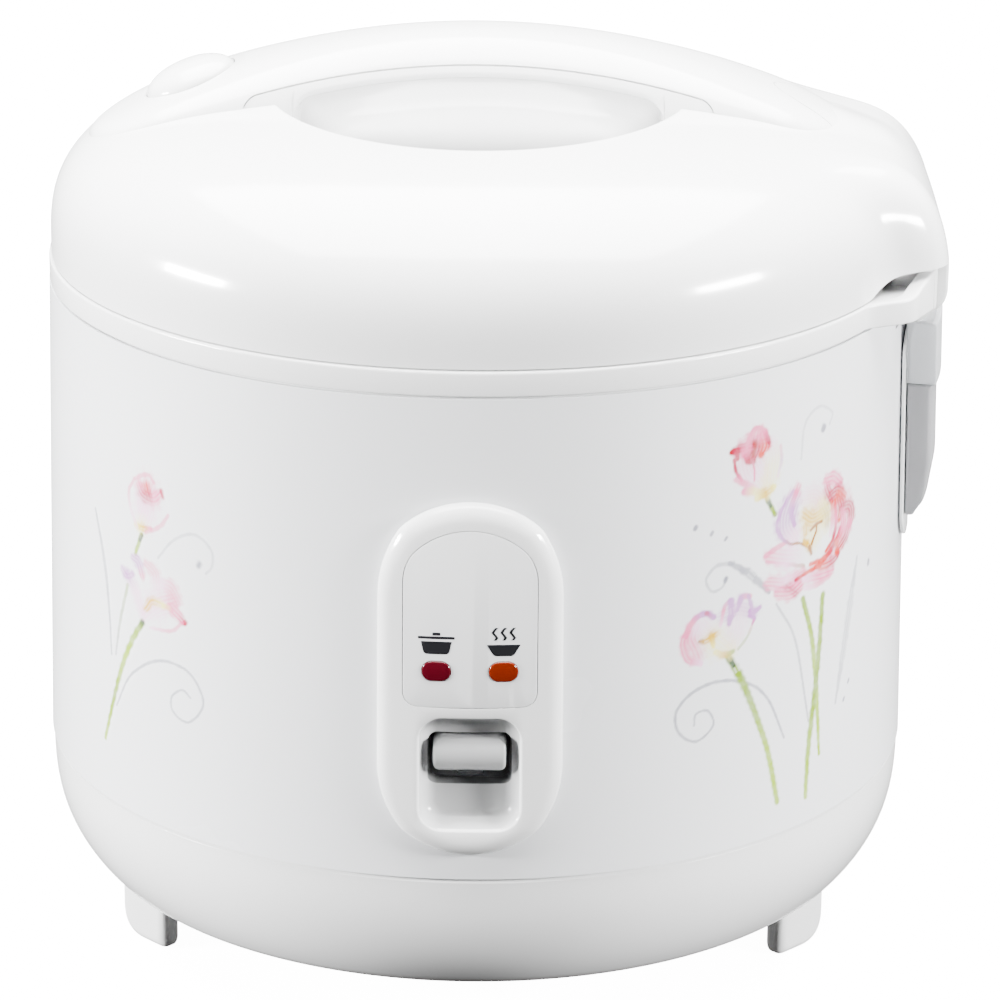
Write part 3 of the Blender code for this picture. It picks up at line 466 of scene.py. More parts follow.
def lid_field(x, y, z):
    """Below zero inside the lid: the dome, its hinge housing and the ridge between them."""
    radius = np.hypot(x, y)
    above = np.maximum(z - LID_SPRING_Z, 0.0)
    size = (radius / LID_RADIUS) ** LID_POWER_R + (above / LID_RISE) ** LID_POWER_Z
    reach = np.sqrt(radius ** 2 + above ** 2)
    dome = reach * (1 - np.maximum(size, 1e-9) ** (-1 / 3.0))
    out, up = x - HOUSING_AT[0], z - HOUSING_AT[1]
    across = (np.abs(out / HOUSING_HALF[0]) ** HOUSING_POWER
              + np.abs(up / HOUSING_HALF[1]) ** HOUSING_POWER) ** (1 / HOUSING_POWER)
    shape = np.hypot(out, up) * (1 - 1 / np.maximum(across, 1e-6))
    housing = blend_high(shape, np.abs(y) - HOUSING_HALF_WIDE, 16.0)
    top = crest_z(x) - 0.5 * (1 - smoothstep(x, 104.0, 110.0))
    ridge = np.hypot(y, z - top + RIDGE_RADIUS) - RIDGE_RADIUS
    ridge = blend_high(blend_high(ridge, 86.0 - x, 3.0), x - 124.0, 6.0)
    return blend_low(blend_low(dome, housing, 12.0), ridge, 5.0)


def lid_edge_z(side):
    """Height of the lid's lower edge: it steps up over the ring's hinge ears."""
    return LID_SEAM_Z + 5.5 * (1 - smoothstep(side, 46.0, 60.0))


def make_lid():
    fine = np.radians(np.arange(-34.0, 34.01, 0.5))
    rest = np.radians(np.arange(35.5, 324.6, 1.5))
    theta = np.concatenate([fine, rest])
    cos, sin = np.cos(theta)[:, None], np.sin(theta)[:, None]
    core_r, core_z = 85.0, 205.0

    def surface(phi):
        """Points where rays from the core circle leave the lid."""
        inner, outer = np.full(phi.shape, 3.0), np.full(phi.shape, 90.0)
        for _ in range(34):
            middle = (inner + outer) / 2
            radius = core_r + middle * np.cos(phi)
            value = lid_field(radius * cos, radius * sin, core_z + middle * np.sin(phi))
            inside = value < 0
            inner = np.where(inside, middle, inner)
            outer = np.where(inside, outer, middle)
        radius = core_r + inner * np.cos(phi)
        return radius * cos, radius * sin, core_z + inner * np.sin(phi)

    low, high = np.full((len(theta), 1), 0.0), np.full((len(theta), 1), 0.7)
    for _ in range(30):
        middle = (low + high) / 2
        x, y, z = surface(middle)
        on_front = np.where(x > 90.0, np.abs(y), 200.0)
        under = z < lid_edge_z(on_front)
        low = np.where(under, middle, low)
        high = np.where(under, high, middle)
    squeeze = 1 / np.sqrt((cos / WELL_SQUEEZE) ** 2 + sin ** 2)
    start = np.arctan2(dome_z(73.5 * squeeze) - core_z, 73.5 * squeeze - core_r)
    rows = 84
    share = np.linspace(0.0, 1.0, rows)[None, :]
    phi = start + (high - start) * share
    x, y, z = surface(phi)
    lip = ((70.4, -6.0), (70.4, -2.6), (70.55, -1.5), (71.0, -0.65), (71.7, -0.15), (72.5, 0.02))
    verts = []
    for index in range(len(theta)):
        scale = float(squeeze[index, 0])
        for r, drop in lip:
            verts.append((r * scale * float(cos[index, 0]), r * scale * float(sin[index, 0]),
                          float(dome_z(72.0 * scale)) + drop))
        verts += list(zip(x[index], y[index], z[index]))
    width = len(lip) + rows
    faces = []
    for index in range(len(theta)):
        here, after = index * width, (index + 1) % len(theta) * width
        for step in range(width - 1):
            faces.append([here + step, after + step, after + step + 1, here + step + 1])
    lid = make_object("lid_skin", verts, faces)
    if max(lid.data.polygons, key=lambda face: face.center.z).normal.z < 0:
        lid.data.flip_normals()
    thicken(lid, LID_WALL)
    return dress(lid, WHITE, "lid", ["lid_shell"], sharp=42.0)


def make_barrel():
    """The lid's part of the hinge: it fills the room between the ring's ears."""
    outline = rounded([(123.0, 201.0, 8.0), (139.5, 201.4, 9.5), (139.6, 216.8, 0.3),
                       (138.0, 217.3, 0.3), (137.4, 221.0, 1.0), (131.0, 221.0, 2.0),
                       (121.8, 217.0, 6.0)], steps=14)

    def at(inset):
        scale = 1 - inset / 10.0
        return [(HINGE[0] + (a - HINGE[0]) * scale, HINGE[1] + (b - HINGE[1]) * scale)
                for a, b in outline]
    barrel = soft_prism("hinge_barrel", at, -37.2, 37.2, 1.2, "Y")
    cut(barrel, prism("bore", circle(PIN_BORE, HINGE), -60.0, 60.0, "Y"))
    dress(barrel, WHITE, "lid", ())
    pin = prism("pin", circle(PIN_RADIUS, HINGE), -PIN_END + 0.2, PIN_END - 0.2, "Y")
    dress(pin, STEEL, "housing", ["hinge_pin"])


def make_well():
    lip = float(dome_z(WELL_RADIUS)) - 1.4
    outline = rounded([(0.0, WELL_FLOOR_Z, 0), (58.0, WELL_FLOOR_Z, 14.0), (67.0, WELL_FLOOR_Z + 7.5, 12.0),
                       (70.25, lip, 0.0), (70.25, lip - 1.5, 0.0), (69.6, 250.0, 6.0),
                       (66.0, WELL_FLOOR_Z + 5.0, 6.0), (58.0, WELL_FLOOR_Z - 1.8, 6.0),
                       (0.0, WELL_FLOOR_Z - 1.8, 0)], steps=10)
    well = lathe("well", outline)
    about = Matrix.Translation(Vector(AXIS))
    well.data.transform(about @ Matrix.Diagonal((WELL_SQUEEZE, 1.0, 1.0, 1.0)) @ about.inverted())
    cut(well, prism("vent_hole", circle(9.0, (0.0, VENT_Y)), 230.0, 245.0))
    # The well is coloured darker than the lid: painted shade in the hollow.
    return dress(well, WELL_PAINTED_SHADE, "lid", ["lid_well"], sharp=50.0)


# ---------------------------------------------------------------- handle

def band_half(x):
    waist = 1 - (min(abs(x), 72.0) / 72.0) ** 2
    if x < -90.0:
        over = min((-x - 90.0) / 27.6, 1.0)
        return max(26.4 * (1 - over ** 2.4) ** 0.5, 0.05)
    taper = max(x - 88.0, 0.0) / 20.0
    return 26.5 - 3.6 * waist - 12.0 * taper ** 2


def band_high(x):
    top = crest_z(x)
    if x > -96.0:
        return top
    dome = float(dome_z(abs(x)))
    return dome - 0.3 + (top - dome + 0.3) * (band_half(x) / 26.4) ** 0.55


def band_low(x):
    return min(float(dome_z(abs(x))), 262.0) - 3.0


def parting_z(x):
    return crest_z(x) - 7.2 + 1.0 * (x / GRIP_END) ** 2


def band_point(x, z, side):
    """The point at one height on the handle's outer surface."""
    low, high = band_low(x), band_high(x)
    up = min(max((z - low) / (high - low), 0.0), 1.0) ** (4 / 3)
    return side * band_half(x) * max(1 - up * up, 0.0) ** 0.4


def tongue_line():
    """Thin joint where the lid's ridge runs into the handle's rear end."""
    near, far = [], []
    for t in np.linspace(-1.0, 1.0, 41):
        across = math.hypot(16.0, 38.0 * t)
        near.append((88.0 + 19.0 * t * t, 16.0 * t))
        far.append((near[-1][0] + 0.4 * 16.0 / across, near[-1][1] - 0.4 * 38.0 * t / across))
    return near + far[::-1]


def make_handle_cover():
    turns = [GRIP_END + 0.02, GRIP_END - 0.03, 69.2, 68.8, 68.2, 67.5, 66.5]
    xs = list(np.arange(-117.5, -69.6, 1.0)) + [-x for x in turns]
    xs += list(np.arange(-65.5, 65.6, 1.5)) + turns[::-1]
    xs += list(np.arange(70.5, 108.1, 1.0))
    count = 56
    verts, faces = [], []
    for x in xs:
        low, high, half = band_low(x), band_high(x), band_half(x)
        bound = low
        if abs(x) < GRIP_END:
            corner = max(abs(x) - (GRIP_END - 4.0), 0.0)
            bound = parting_z(x) - 4.0 + math.sqrt(max(16.0 - corner ** 2, 0.0))
        begin = math.asin(min(max((bound - low) / (high - low), 0.0), 1.0) ** (4 / 3))
        for step in range(count + 1):
            angle = begin + (math.pi - 2 * begin) * step / count
            c, s = math.cos(angle), math.sin(angle)
            verts.append((x, -half * math.copysign(abs(c) ** 0.8, c),
                          low + (high - low) * max(s, 0.0) ** 0.75))
    row = count + 1
    for index in range(len(xs) - 1):
        for step in range(count):
            faces.append([index * row + step, (index + 1) * row + step,
                          (index + 1) * row + step + 1, index * row + step + 1])
    cover = make_object("handle_top", verts, faces)
    if cover.data.polygons[len(faces) // 2].normal.z < 0:
        cover.data.flip_normals()
    thicken(cover, COVER_WALL)
    cut(cover, button_prism("button_room", BUTTON_RADIUS + 0.45, -12.0, 12.0))
    cut(cover, prism("tongue_line", tongue_line(), 240.0, 290.0))
    return dress(cover, WHITE, "lid", ["handle_cover"], sharp=45.0)


def make_grip():
    """The handle's underside: an arch with two legs that stand in the hollow."""
    xs = [-GRIP_END + 0.25, -69.0, -68.5, -67.8, -67.0, -66.0, -65.0, -62.0, -58.0]
    xs += [-LEG_INSIDE - 0.4, -LEG_INSIDE, -54.6, -54.0, -53.2, -52.0, -50.5, -49.0]
    xs += list(np.arange(-48.0, 0.1, 2.0))
    xs += [-x for x in xs[::-1] if x < 0]
    sections = []
    for x in xs:
        under = crest_z(x) - 11.5
        reach = abs(x) - (LEG_INSIDE - 6.0)
        if abs(x) > LEG_INSIDE - 0.2:
            under = 236.5
        elif reach > 0:
            under -= 6.0 - math.sqrt(max(36.0 - reach ** 2, 0.0))
        top = parting_z(x) - 0.6
        if abs(x) > GRIP_END - 4.0:
            corner = abs(x) - (GRIP_END - 4.0)
            top += -4.0 + math.sqrt(max(16.0 - corner ** 2, 0.0))
        section = []
        for step in range(15):
            z = under + (top - under) * step / 14
            inset = 2.2 * max(1 - (z - under) / 2.2, 0.0) ** 2 if abs(x) < LEG_INSIDE else 0.0
            section.append((x, band_point(x, z, -1) + 0.25 + inset, z))
        section += [(x, -y, z) for _, y, z in section[::-1]]
        sections.append(section)
    grip = loft("grip", sections)
    return dress(grip, WHITE, "lid", ["handle_grip"], sharp=40.0)


def button_axis():
    slope = -2 * CREST_CURVE * BUTTON_X
    return Vector((BUTTON_X, 0.0, crest_z(BUTTON_X))), Vector((-slope, 0.0, 1.0)).normalized()


def tilt(obj):
    centre, out = button_axis()
    turn = Vector((0, 0, 1)).rotation_difference(out).to_matrix().to_4x4()
    base = Matrix.Translation(Vector(AXIS))
    obj.data.transform(base @ Matrix.Translation(centre * MM) @ turn @ base.inverted())
    return obj


def button_prism(name, radius, low, high):
    return tilt(prism(name, circle(radius, turn=96), low, high))


def make_button():
    crown = [(BUTTON_RADIUS * math.cos(a) ** 0.9, -1.4 + 6.4 * math.sin(a))
             for a in np.radians(np.arange(0.0, 88.0, 4.0))]
    profile = [(0.0, -18.9), (4.0, -18.9), (4.0, -3.0), (BUTTON_RADIUS - 0.2, -3.0)]
    button = tilt(lathe("button", profile + crown + [(0.0, 5.0)], turn=96))
    return dress(button, WHITE, "button", ["open_button"])


# ---------------------------------------------------------------- ring, drum, base

def ring_flare(degrees):
    """How far the ring stands out round the hinge."""
    side = abs(degrees)
    return float(9.9 * (1 - smoothstep(side, 22.0, 29.5)) + 1.5 * (1 - smoothstep(side, 16.0, 22.0)))


def make_ring():
    sections = []
    angles = list(np.arange(-32.0, 32.01, 0.5)) + list(np.arange(34.0, 326.1, 2.0))
    for degrees in angles:
        theta = math.radians(degrees)
        wide = 129.9 + ring_flare(degrees)
        rim_z = RING_TOP_Z + 4.6 * float(1 - smoothstep(abs(degrees), 16.5, 24.5))
        corners = [(wide - 1.0, 203.5, 0.3), (wide, 203.9, 0.5), (wide, rim_z, 0.9),
                   (wide - 4.4, rim_z, 0.5), (wide - 5.2, RING_TOP_Z, 0.3),
                   (112.3, RING_TOP_Z, 0.3), (112.3, 208.0, 0), (105.3, 208.0, 0.3),
                   (105.3, 205.2, 0.3), (126.4, 205.2, 0.5), (126.4, 196.5, 0.3),
                   (128.4, 196.5, 0.3), (128.4, 203.45, 0.3)]
        outline = rounded(corners, steps=4)
        sections.append([(r * math.cos(theta), r * math.sin(theta), z) for r, z in outline])
    ring = loft("ring", sections, closed=True)
    for side in (-1, 1):
        low, high = sorted((side * EAR_INSIDE, side * EAR_OUTSIDE))

        def at(inset):
            return rounded([(121.0 + inset, 200.0 + inset, 2.0), (131.0, 200.0 + inset, 2.0),
                            (135.6 - inset, 203.8 + inset, 1.5), (135.4 - inset, 216.2 - inset, 3.4),
                            (123.0 + inset, 216.4 - inset, 2.0)], steps=8)
        ear = soft_prism("ear", at, low, high, 1.0, "Y")
        join(ring, ear)
    cut(ring, box("hinge_bay", (118.0, -EAR_INSIDE, 196.9), (170.0, EAR_INSIDE, 240.0)))
    cut(ring, prism("pin_hole", circle(PIN_BORE, HINGE, 24), -PIN_END, PIN_END, "Y"))
    cut(ring, box("catch_slot", (-126.0, -9.0, 190.0), (-112.6, 9.0, 220.0)))
    return dress(ring, WHITE, "housing", ["top_ring"], sharp=38.0)


def make_drum():
    low, high = BASE_SEAM_Z + 0.8, DRUM_TOP_Z
    profile = [(drum_radius(high), high), (drum_radius(low), low),
               (drum_radius(low) - 1.0, low), (drum_radius(high) - 1.0, high)]
    drum = lathe("drum", profile, turn=288)
    outline = rounded_rect(16.6, 19.9, 8.5, (0.0, SCOOP_Z))
    cut(drum, prism("switch_window", outline, -140.0, -110.0, "Y"))
    cut(drum, box("lamp_window", (-16.0, -140.0, 116.5), (16.0, -110.0, 129.0)))
    cut(drum, box("hinge_notch", (100.0, -38.5, 196.5), (140.0, 38.5, 210.0)))
    return dress(drum, PEARL, "housing", ["outer_drum"])


def base_radius(z):
    fall = max(BASE_SEAM_Z - z, 0.0) / 84.5
    return BASE_RADIUS * (1 - fall ** 2.91)


def make_base():
    outer = [(base_radius(z), z) for z in np.arange(57.6, 21.4, -1.2)]
    profile = rounded([(131.2, BASE_SEAM_Z, 0.4), (base_radius(57.9), 57.9, 0.4)]
                      + [(r, z, 0) for r, z in outer]
                      + [(118.2, 20.0, 3.0), (112.4, 17.3, 4.0), (107.2, 15.0, 3.0),
                         (104.2, 14.0, 0.4), (104.2, 16.2, 0), (94.0, 16.2, 0), (94.0, 18.4, 0),
                         (113.5, 19.8, 0), (base_radius(27.0) - 2.8, 27.0, 0),
                         (base_radius(45.0) - 2.8, 45.0, 0), (129.3, BASE_SEAM_Z, 0),
                         (129.3, 64.0, 0), (131.0, 64.0, 0)], steps=5)
    base = lathe("base", profile, turn=256)
    cut(base, box("inlet_window", (-21.0, 100.0, 26.0), (21.0, 140.0, 50.0)))
    return dress(base, WHITE, "housing", ["base_casing"], sharp=30.0)


def make_feet():
    for name, side_x, side_y in (("foot_front_left", -1, -1), ("foot_front_right", 1, -1),
                                 ("foot_rear_left", -1, 1), ("foot_rear_right", 1, 1)):

        def at(inset):
            return rounded([(-11.5 + inset, 24.0 - inset, 0.0), (-11.5 + inset, inset, 2.4),
                            (8.5 - inset, inset, 9.0), (8.5 - inset, 24.0 - inset, 0.0)], steps=10)
        foot = soft_prism(name + "_skin", at, -5.0, 2.5, 2.8, "Y", steps=6)
        base = Matrix.Translation(Vector(AXIS))
        place = Matrix.Translation(Vector((99.5, -45.5, 0.0)) * MM)
        mirror = Matrix.Diagonal((side_x, -side_y, 1.0, 1.0))
        turn = Matrix.Rotation(math.radians(45.0), 4, "Z")
        foot.data.transform(base @ mirror @ place @ turn @ base.inverted())
        if side_x * -side_y < 0:
            foot.data.flip_normals()
        dress(foot, WHITE, "housing", [name])


# ---------------------------------------------------------------- front panel

def arched(half, low, high, rise_low, rise_high, soft, inset=0.0, steps=24):
    """Upright outline with straight sides, arcs for ends and rounded corners between them."""
    corners = []
    for end, rise, sign in ((high, rise_high, 1), (low, rise_low, -1)):
        reach, bow = half - inset, max(rise - inset, 0.2)
        radius = (reach ** 2 + bow ** 2) / (2 * bow)
        middle = end - sign * (inset + radius)
        spread = math.asin(min(reach / radius, 1.0))
        pulled = spread * (1 - soft / (radius * spread))
        arc = [(radius * math.sin(pulled * (1 - step / steps)),
                middle + sign * radius * math.cos(pulled * (1 - step / steps)))
               for step in range(2 * steps + 1)]
        side = end - sign * (inset + bow)
        first, last = np.array((reach, side - sign * soft)), np.array(arc[0])
        bend = np.array((reach, side))
        turn = [tuple(first * (1 - t) ** 2 + 2 * bend * t * (1 - t) + last * t * t)
                for t in (step / 8 for step in range(8))]
        row = turn + arc + [(-x, z) for x, z in turn[::-1]]
        corners += row if sign > 0 else [(-x, z) for x, z in row]
    return corners


def panel_outline(inset):
    return arched(PANEL_HALF, 67.6, 173.4, 16.4, 17.6, 11.0, inset)


def label_outline(inset):
    return arched(18.2, 113.5, 166.1, 0.3, 11.0, 4.5, inset)


def lamp_outline(side, grow):
    return rounded_rect(3.95 + grow, 3.0 + grow, 2.9 + grow, (side * LAMP_X, LAMP_Z))


def scoop():
    """Finger hollow: a soft lip, steep sides and a flat floor round the key's pocket."""
    sections = []
    for inset, y in ((-1.3, -5.6), (-1.1, -4.45), (-0.6, -4.25), (-0.2, -3.9), (0.0, -3.3)):
        sections.append((inset, y))
    for step in range(1, 11):
        angle = math.pi / 2 * step / 10
        sections.append((3.9 * (1 - math.cos(angle)), -3.3 + 6.0 * math.sin(angle)))
    return loft("scoop", [[(x, y, z) for x, z in rounded_rect(
        13.7 - inset, 16.8 - inset, max(6.4 - inset, 1.5), (0.0, SCOOP_Z))] for inset, y in sections])


def painted_shade_zone(point):
    """Slot for painted shade: 1 for the key's pocket (dark painted shade), 2 for the finger hollow round it
    (lighter painted shade), 0 for the rest of the flat panel.
    """
    if abs(point.x) < 12.2 and abs(point.z - 95.6) < 8.1 and 2.75 < point.y < 9.0:
        return 1
    in_scoop = abs(point.x) < 13.7 and abs(point.z - SCOOP_Z) < 16.8 and -4.0 < point.y < 2.9
    return 2 if in_scoop else 0


def make_panel():
    steps = [(0.0, 0.3), (0.0, 0.8)]
    for step in range(11):
        angle = math.pi / 2 * step / 10
        steps.append((5.0 * (1 - math.cos(angle)), 0.8 + (PANEL_DEPTH - 0.8) * math.sin(angle)))
    bezel = loft("bezel", [[(x, -out, z) for x, z in panel_outline(inset)] for inset, out in steps])
    join(bezel, prism("boss", rounded_rect(16.1, 19.4, 8.0, (0.0, SCOOP_Z)), -2.0, 10.5, "Y"))
    cut(bezel, scoop())
    cut(bezel, prism("pocket", rounded_rect(12.0, 7.9, 2.6, (0.0, 95.6)), -3.0, 8.5, "Y"))
    cut(bezel, box("slot", (-4.0, 8.0, 88.4), (4.0, 12.0, 99.0)))
    cut(bezel, prism("label_seat", label_outline(-0.22), -6.0, -3.0, "Y"))
    for side in (-1, 1):
        cut(bezel, prism("lamp_hole", lamp_outline(side, 0.2), -6.0, 1.0, "Y"))
    shade_zones = [painted_shade_zone((face.center - Vector(AXIS)) / MM) for face in bezel.data.polygons]
    dress(bezel, WHITE, "housing", ["panel_bezel"], sharp=34.0)
    # The key's pocket takes a dark grey: painted shade inside the recess.
    bezel.data.materials.append(POCKET_PAINTED_SHADE)
    # The finger hollow takes a lighter grey: painted shade inside the scoop.
    bezel.data.materials.append(SCOOP_PAINTED_SHADE)
    bezel.data.polygons.foreach_set("material_index", shade_zones)
    wrap(bezel)
    bezel.data.set_sharp_from_angle(angle=math.radians(34.0))

    label = soft_prism("label", label_outline, 3.3, PANEL_DEPTH, 0.25, "Y", steps=3)
    label.data.transform(Matrix.Translation(Vector((0, AXIS[1], 0))) @ Matrix.Diagonal((1, -1, 1, 1))
                         @ Matrix.Translation(Vector((0, -AXIS[1], 0))))
    label.data.flip_normals()
    for side in (-1, 1):
        cut(label, prism("lamp_hole", lamp_outline(side, 0.15), -6.0, 1.0, "Y"))
    dress(wrap(label), PANEL_GREY, "housing", ["label_plate"])

    for name, node, side, look in (("lens_cook", "cook_lamp_lens", -1, RED),
                                   ("lens_warm", "warm_lamp_lens", 1, AMBER)):
        def at(inset):
            return lamp_outline(side, -inset)
        lens = soft_prism(name, at, -PANEL_DEPTH - 0.4, -0.8, 0.45, "Y", steps=4)
        dress(wrap(lens), look, "housing", [node])


def make_marks():
    """Plain signs over the lamps: a pot for cooking, and a bowl with rising heat for warmth."""
    top = -PANEL_DEPTH - 0.06
    left, right = -LAMP_X, LAMP_X
    pot = prism("pot_mark", rounded([(left - 4.2, 133.4, 0.2), (left - 3.4, 129.6, 1.4),
                                     (left + 3.4, 129.6, 1.4), (left + 4.2, 133.4, 0.2)]), top, -4.1, "Y")
    pieces = [rounded_rect(5.0, 0.38, 0.3, (left, 134.5)), rounded_rect(1.1, 0.45, 0.3, (left, 135.6))]
    bowl = [(right - 4.6, 132.6, 0.2), (right - 2.6, 129.2, 1.6), (right + 2.6, 129.2, 1.6),
            (right + 4.6, 132.6, 0.2)]
    pieces.append(rounded(bowl))
    for shift in (-2.4, 0.0, 2.4):
        wave = [(right + shift + 0.55 * math.sin(1.5 * step), 133.9 + 0.75 * step) for step in range(6)]
        pieces.append([(a - 0.38, b) for a, b in wave] + [(a + 0.38, b) for a, b in wave[::-1]])
    for outline in pieces:
        join(pot, prism("mark", outline, top, -4.1, "Y"))
    return dress(wrap(pot), INK, "housing")


def make_key():
    middle = 98.0
    back = -drum_radius(middle) + 6.8
    front = -drum_radius(middle) + 0.4

    def at(inset):
        out, up = 3.2 - inset * 0.6, 5.0 - inset
        bulge = [(front + inset * 0.2 - out * math.cos(a), middle + up * math.sin(a))
                 for a in np.radians(np.arange(-90.0, 91.0, 7.5))]
        return [(back, middle - 5.0 + inset)] + bulge + [(back, middle + 5.0 - inset)]
    key = soft_prism("key", at, -10.4, 10.4, 1.2, "X", steps=5)
    combine(key, prism("front_view", rounded_rect(10.4, 5.0, 3.0, (0.0, middle)), -140.0, -110.0, "Y"),
            "INTERSECT")
    join(key, box("arm", (-3.4, -126.5, 93.5), (3.4, -119.0, 98.0)))
    return dress(key, KEY_GREY, "key", ["cook_key"])


# ---------------------------------------------------------------- flower print

PAPER = np.array((0.835, 0.845, 0.862))
ROSE = np.array((0.42, 0.012, 0.055))
DEEP_ROSE = np.array((0.34, 0.002, 0.012))
CORAL = np.array((0.62, 0.030, 0.016))
BLUSH = np.array((0.78, 0.13, 0.30))
LILAC = np.array((0.46, 0.17, 0.50))
PETAL = np.array((0.90, 0.50, 0.74))
CREAM = np.array((0.86, 0.80, 0.25))
YELLOW = np.array((0.66, 0.38, 0.003))
ORANGE = np.array((0.30, 0.11, 0.002))
GREEN = np.array((0.20, 0.32, 0.010))
PALE_GREEN = np.array((0.32, 0.48, 0.03))
DEEP_GREEN = np.array((0.018, 0.055, 0.002))
LEAF_GREY = np.array((0.20, 0.20, 0.25))


def smooth_line(points):
    """Fine points along a curve through the given ones."""
    points = [np.array(point, float) for point in points]
    points = [2 * points[0] - points[1]] + points + [2 * points[-1] - points[-2]]
    line = []
    for a, b, c, d in zip(points, points[1:], points[2:], points[3:]):
        steps = max(int(np.linalg.norm(c - b) / 0.15), 2)
        for t in np.arange(steps) / steps:
            line.append(0.5 * (2 * b + (c - a) * t + (2 * a - 5 * b + 4 * c - d) * t * t
                               + (3 * b - a - 3 * c + d) * t ** 3))
    return np.array(line + [points[-2]])


class Canvas:
    """Colour washes on the drum, laid out by arc length from the front centre and height."""

    def __init__(self, low, high, load, step=0.35):
        self.low, self.step, self.load = np.array(low, float), step, load
        along, z = np.meshgrid(np.arange(low[0], high[0], step), np.arange(low[1], high[1], step))
        self.grid = np.stack([along, z], -1)
        self.paint = np.tile(PAPER, self.grid.shape[:2] + (1,))

    def brush(self, points, widths, colours, strength=0.7, soft=0.6):
        """One stroke; its widths and colours are spread evenly from its first point to its last."""
        line = smooth_line(points)
        share = np.linspace(0.0, 1.0, len(line))
        wide = 0.7 * np.interp(share, np.linspace(0, 1, len(widths)), widths)
        tone = np.stack([np.interp(share, np.linspace(0, 1, len(colours)), column)
                         for column in np.array(colours).T], -1)
        low = np.floor((line.min(0) - wide.max() * 1.3 - self.low) / self.step).astype(int)
        high = np.ceil((line.max(0) + wide.max() * 1.3 - self.low) / self.step).astype(int)
        window = (slice(max(low[1], 0), high[1] + 1), slice(max(low[0], 0), high[0] + 1))
        spots = self.grid[window]
        reach = np.full(spots.shape[:2], 9.0)
        pick = np.zeros(spots.shape[:2], int)
        for index, (here, half) in enumerate(zip(line, wide)):
            away = np.hypot(spots[..., 0] - here[0], spots[..., 1] - here[1]) / half
            pick = np.where(away < reach, index, pick)
            reach = np.minimum(reach, away)
        along, z = spots[..., 0], spots[..., 1]
        reach = reach * (1 + 0.09 * np.sin(1.9 * along + 0.7 * z) + 0.08 * np.sin(0.8 * along - 2.3 * z))
        heading = np.gradient(line, axis=0)[pick]
        gone = spots - line[pick]
        aside = ((heading[..., 0] * gone[..., 1] - heading[..., 1] * gone[..., 0])
                 / np.maximum(np.hypot(heading[..., 0], heading[..., 1]), 1e-6))
        grain = np.where(wide[pick] > 1.85, 0.78 + 0.22 * np.sin(5.2 * aside + 0.6 * np.sin(0.9 * z)), 1.0)
        cover = min(self.load * strength, 1.0) * grain * (1 - smoothstep(reach, 1 - soft, 1.0))
        cover = cover[..., None]
        self.paint[window] += (tone[pick] - self.paint[window]) * cover

    def finish(self, name):
        """Keep the painted part of the sheet and lay it on the drum."""
        wet = np.abs(self.paint - PAPER).sum(-1) > 0.004
        rows, columns = wet.shape
        verts, faces, tints, seen = [], [], [], {}

        def corner(row, column):
            if (row, column) not in seen:
                seen[row, column] = len(verts)
                along, z = self.grid[row, column]
                radius, angle = drum_radius(z) + 0.03, along / DRUM_TOP_RADIUS
                verts.append((radius * math.sin(angle), -radius * math.cos(angle), z))
                tints.append((*self.paint[row, column], 1.0))
            return seen[row, column]
        for row in range(rows - 1):
            for column in range(columns - 1):
                if wet[row:row + 2, column:column + 2].any():
                    faces.append([corner(row, column), corner(row, column + 1),
                                  corner(row + 1, column + 1), corner(row + 1, column)])
        obj = make_object(name, verts, faces)
        colour = obj.data.color_attributes.new("tint", "FLOAT_COLOR", "POINT")
        colour.data.foreach_set("color", np.array(tints).ravel())
        obj.visible_shadow = False
        return dress(obj, PRINT_INK, "housing")


def paint_bud(art):
    """The closed flower at the top of the right-hand bunch."""
    art.brush([(91, 165.5), (88, 170), (84.5, 175.5), (84, 180)], (3, 9, 11, 9), (CREAM, PETAL, BLUSH), 0.4)
    art.brush([(91.5, 166), (92.4, 171), (93, 177), (92, 181)], (3, 7, 7, 4), (CREAM, CREAM, PETAL), 0.3)
    art.brush([(95, 170.5), (96.4, 175), (96, 179.5)], (1.0, 1.2, 1.0), (PETAL, LILAC, BLUSH), 0.3)
    art.brush([(79.5, 172.5), (83, 170.5), (87, 168.3)], (2.0, 2.2, 1.6), (BLUSH, BLUSH, PETAL), 0.45)
    art.brush([(82.3, 168.3), (86, 167.8), (90, 166)], (2.4, 2.6, 2.4), (BLUSH, CREAM, YELLOW), 0.5)
    art.brush([(87, 165.6), (90.5, 166.4), (93.6, 167.6)], (2.2, 3.6, 2.0), (CREAM, YELLOW, CREAM), 0.6)
    art.brush([(79.5, 180.6), (84.5, 181.6), (90, 181)], (4, 8, 5), (BLUSH,), 0.45)
    art.brush([(86.6, 184.6), (86, 181), (84.8, 178.2)], (5.5, 6.5, 4.0), (BLUSH, ROSE, ROSE), 0.75)
    art.brush([(89, 184.2), (89.9, 180.8), (88.2, 178)], (4.2, 4.0, 2.0), (BLUSH, CORAL, CORAL), 0.7)
    art.brush([(83.4, 183), (86, 186.4), (89.6, 185), (91.4, 181.4)], (1.8, 1.8, 1.7, 1.6),
              (BLUSH, BLUSH, BLUSH, ROSE), 0.75)
    art.brush([(85.8, 182), (85.4, 178.8)], (2.6, 2.0), (DEEP_ROSE,), 0.75, 0.8)
    art.brush([(77.4, 181), (80, 181.5), (83.2, 181.4)], (1.6, 3.4, 3.6), (DEEP_ROSE, ROSE, BLUSH), 0.85)
    art.brush([(79.4, 181), (79.8, 178.6)], (2.4, 1.2), (ROSE,), 0.7)
    art.brush([(82.4, 180), (83.8, 177.2), (85.6, 176.8)], (3.2, 2.2, 1.6), (BLUSH, ROSE, ROSE), 0.75)
    art.brush([(78.5, 178.6), (79.2, 175), (81.2, 172.2)], (1.1, 1.3, 1.1), (ROSE, ROSE, BLUSH), 0.75)
    art.brush([(84.8, 178), (85.9, 174), (86, 171)], (0.9, 0.9, 0.7), (ROSE, BLUSH, BLUSH), 0.5)


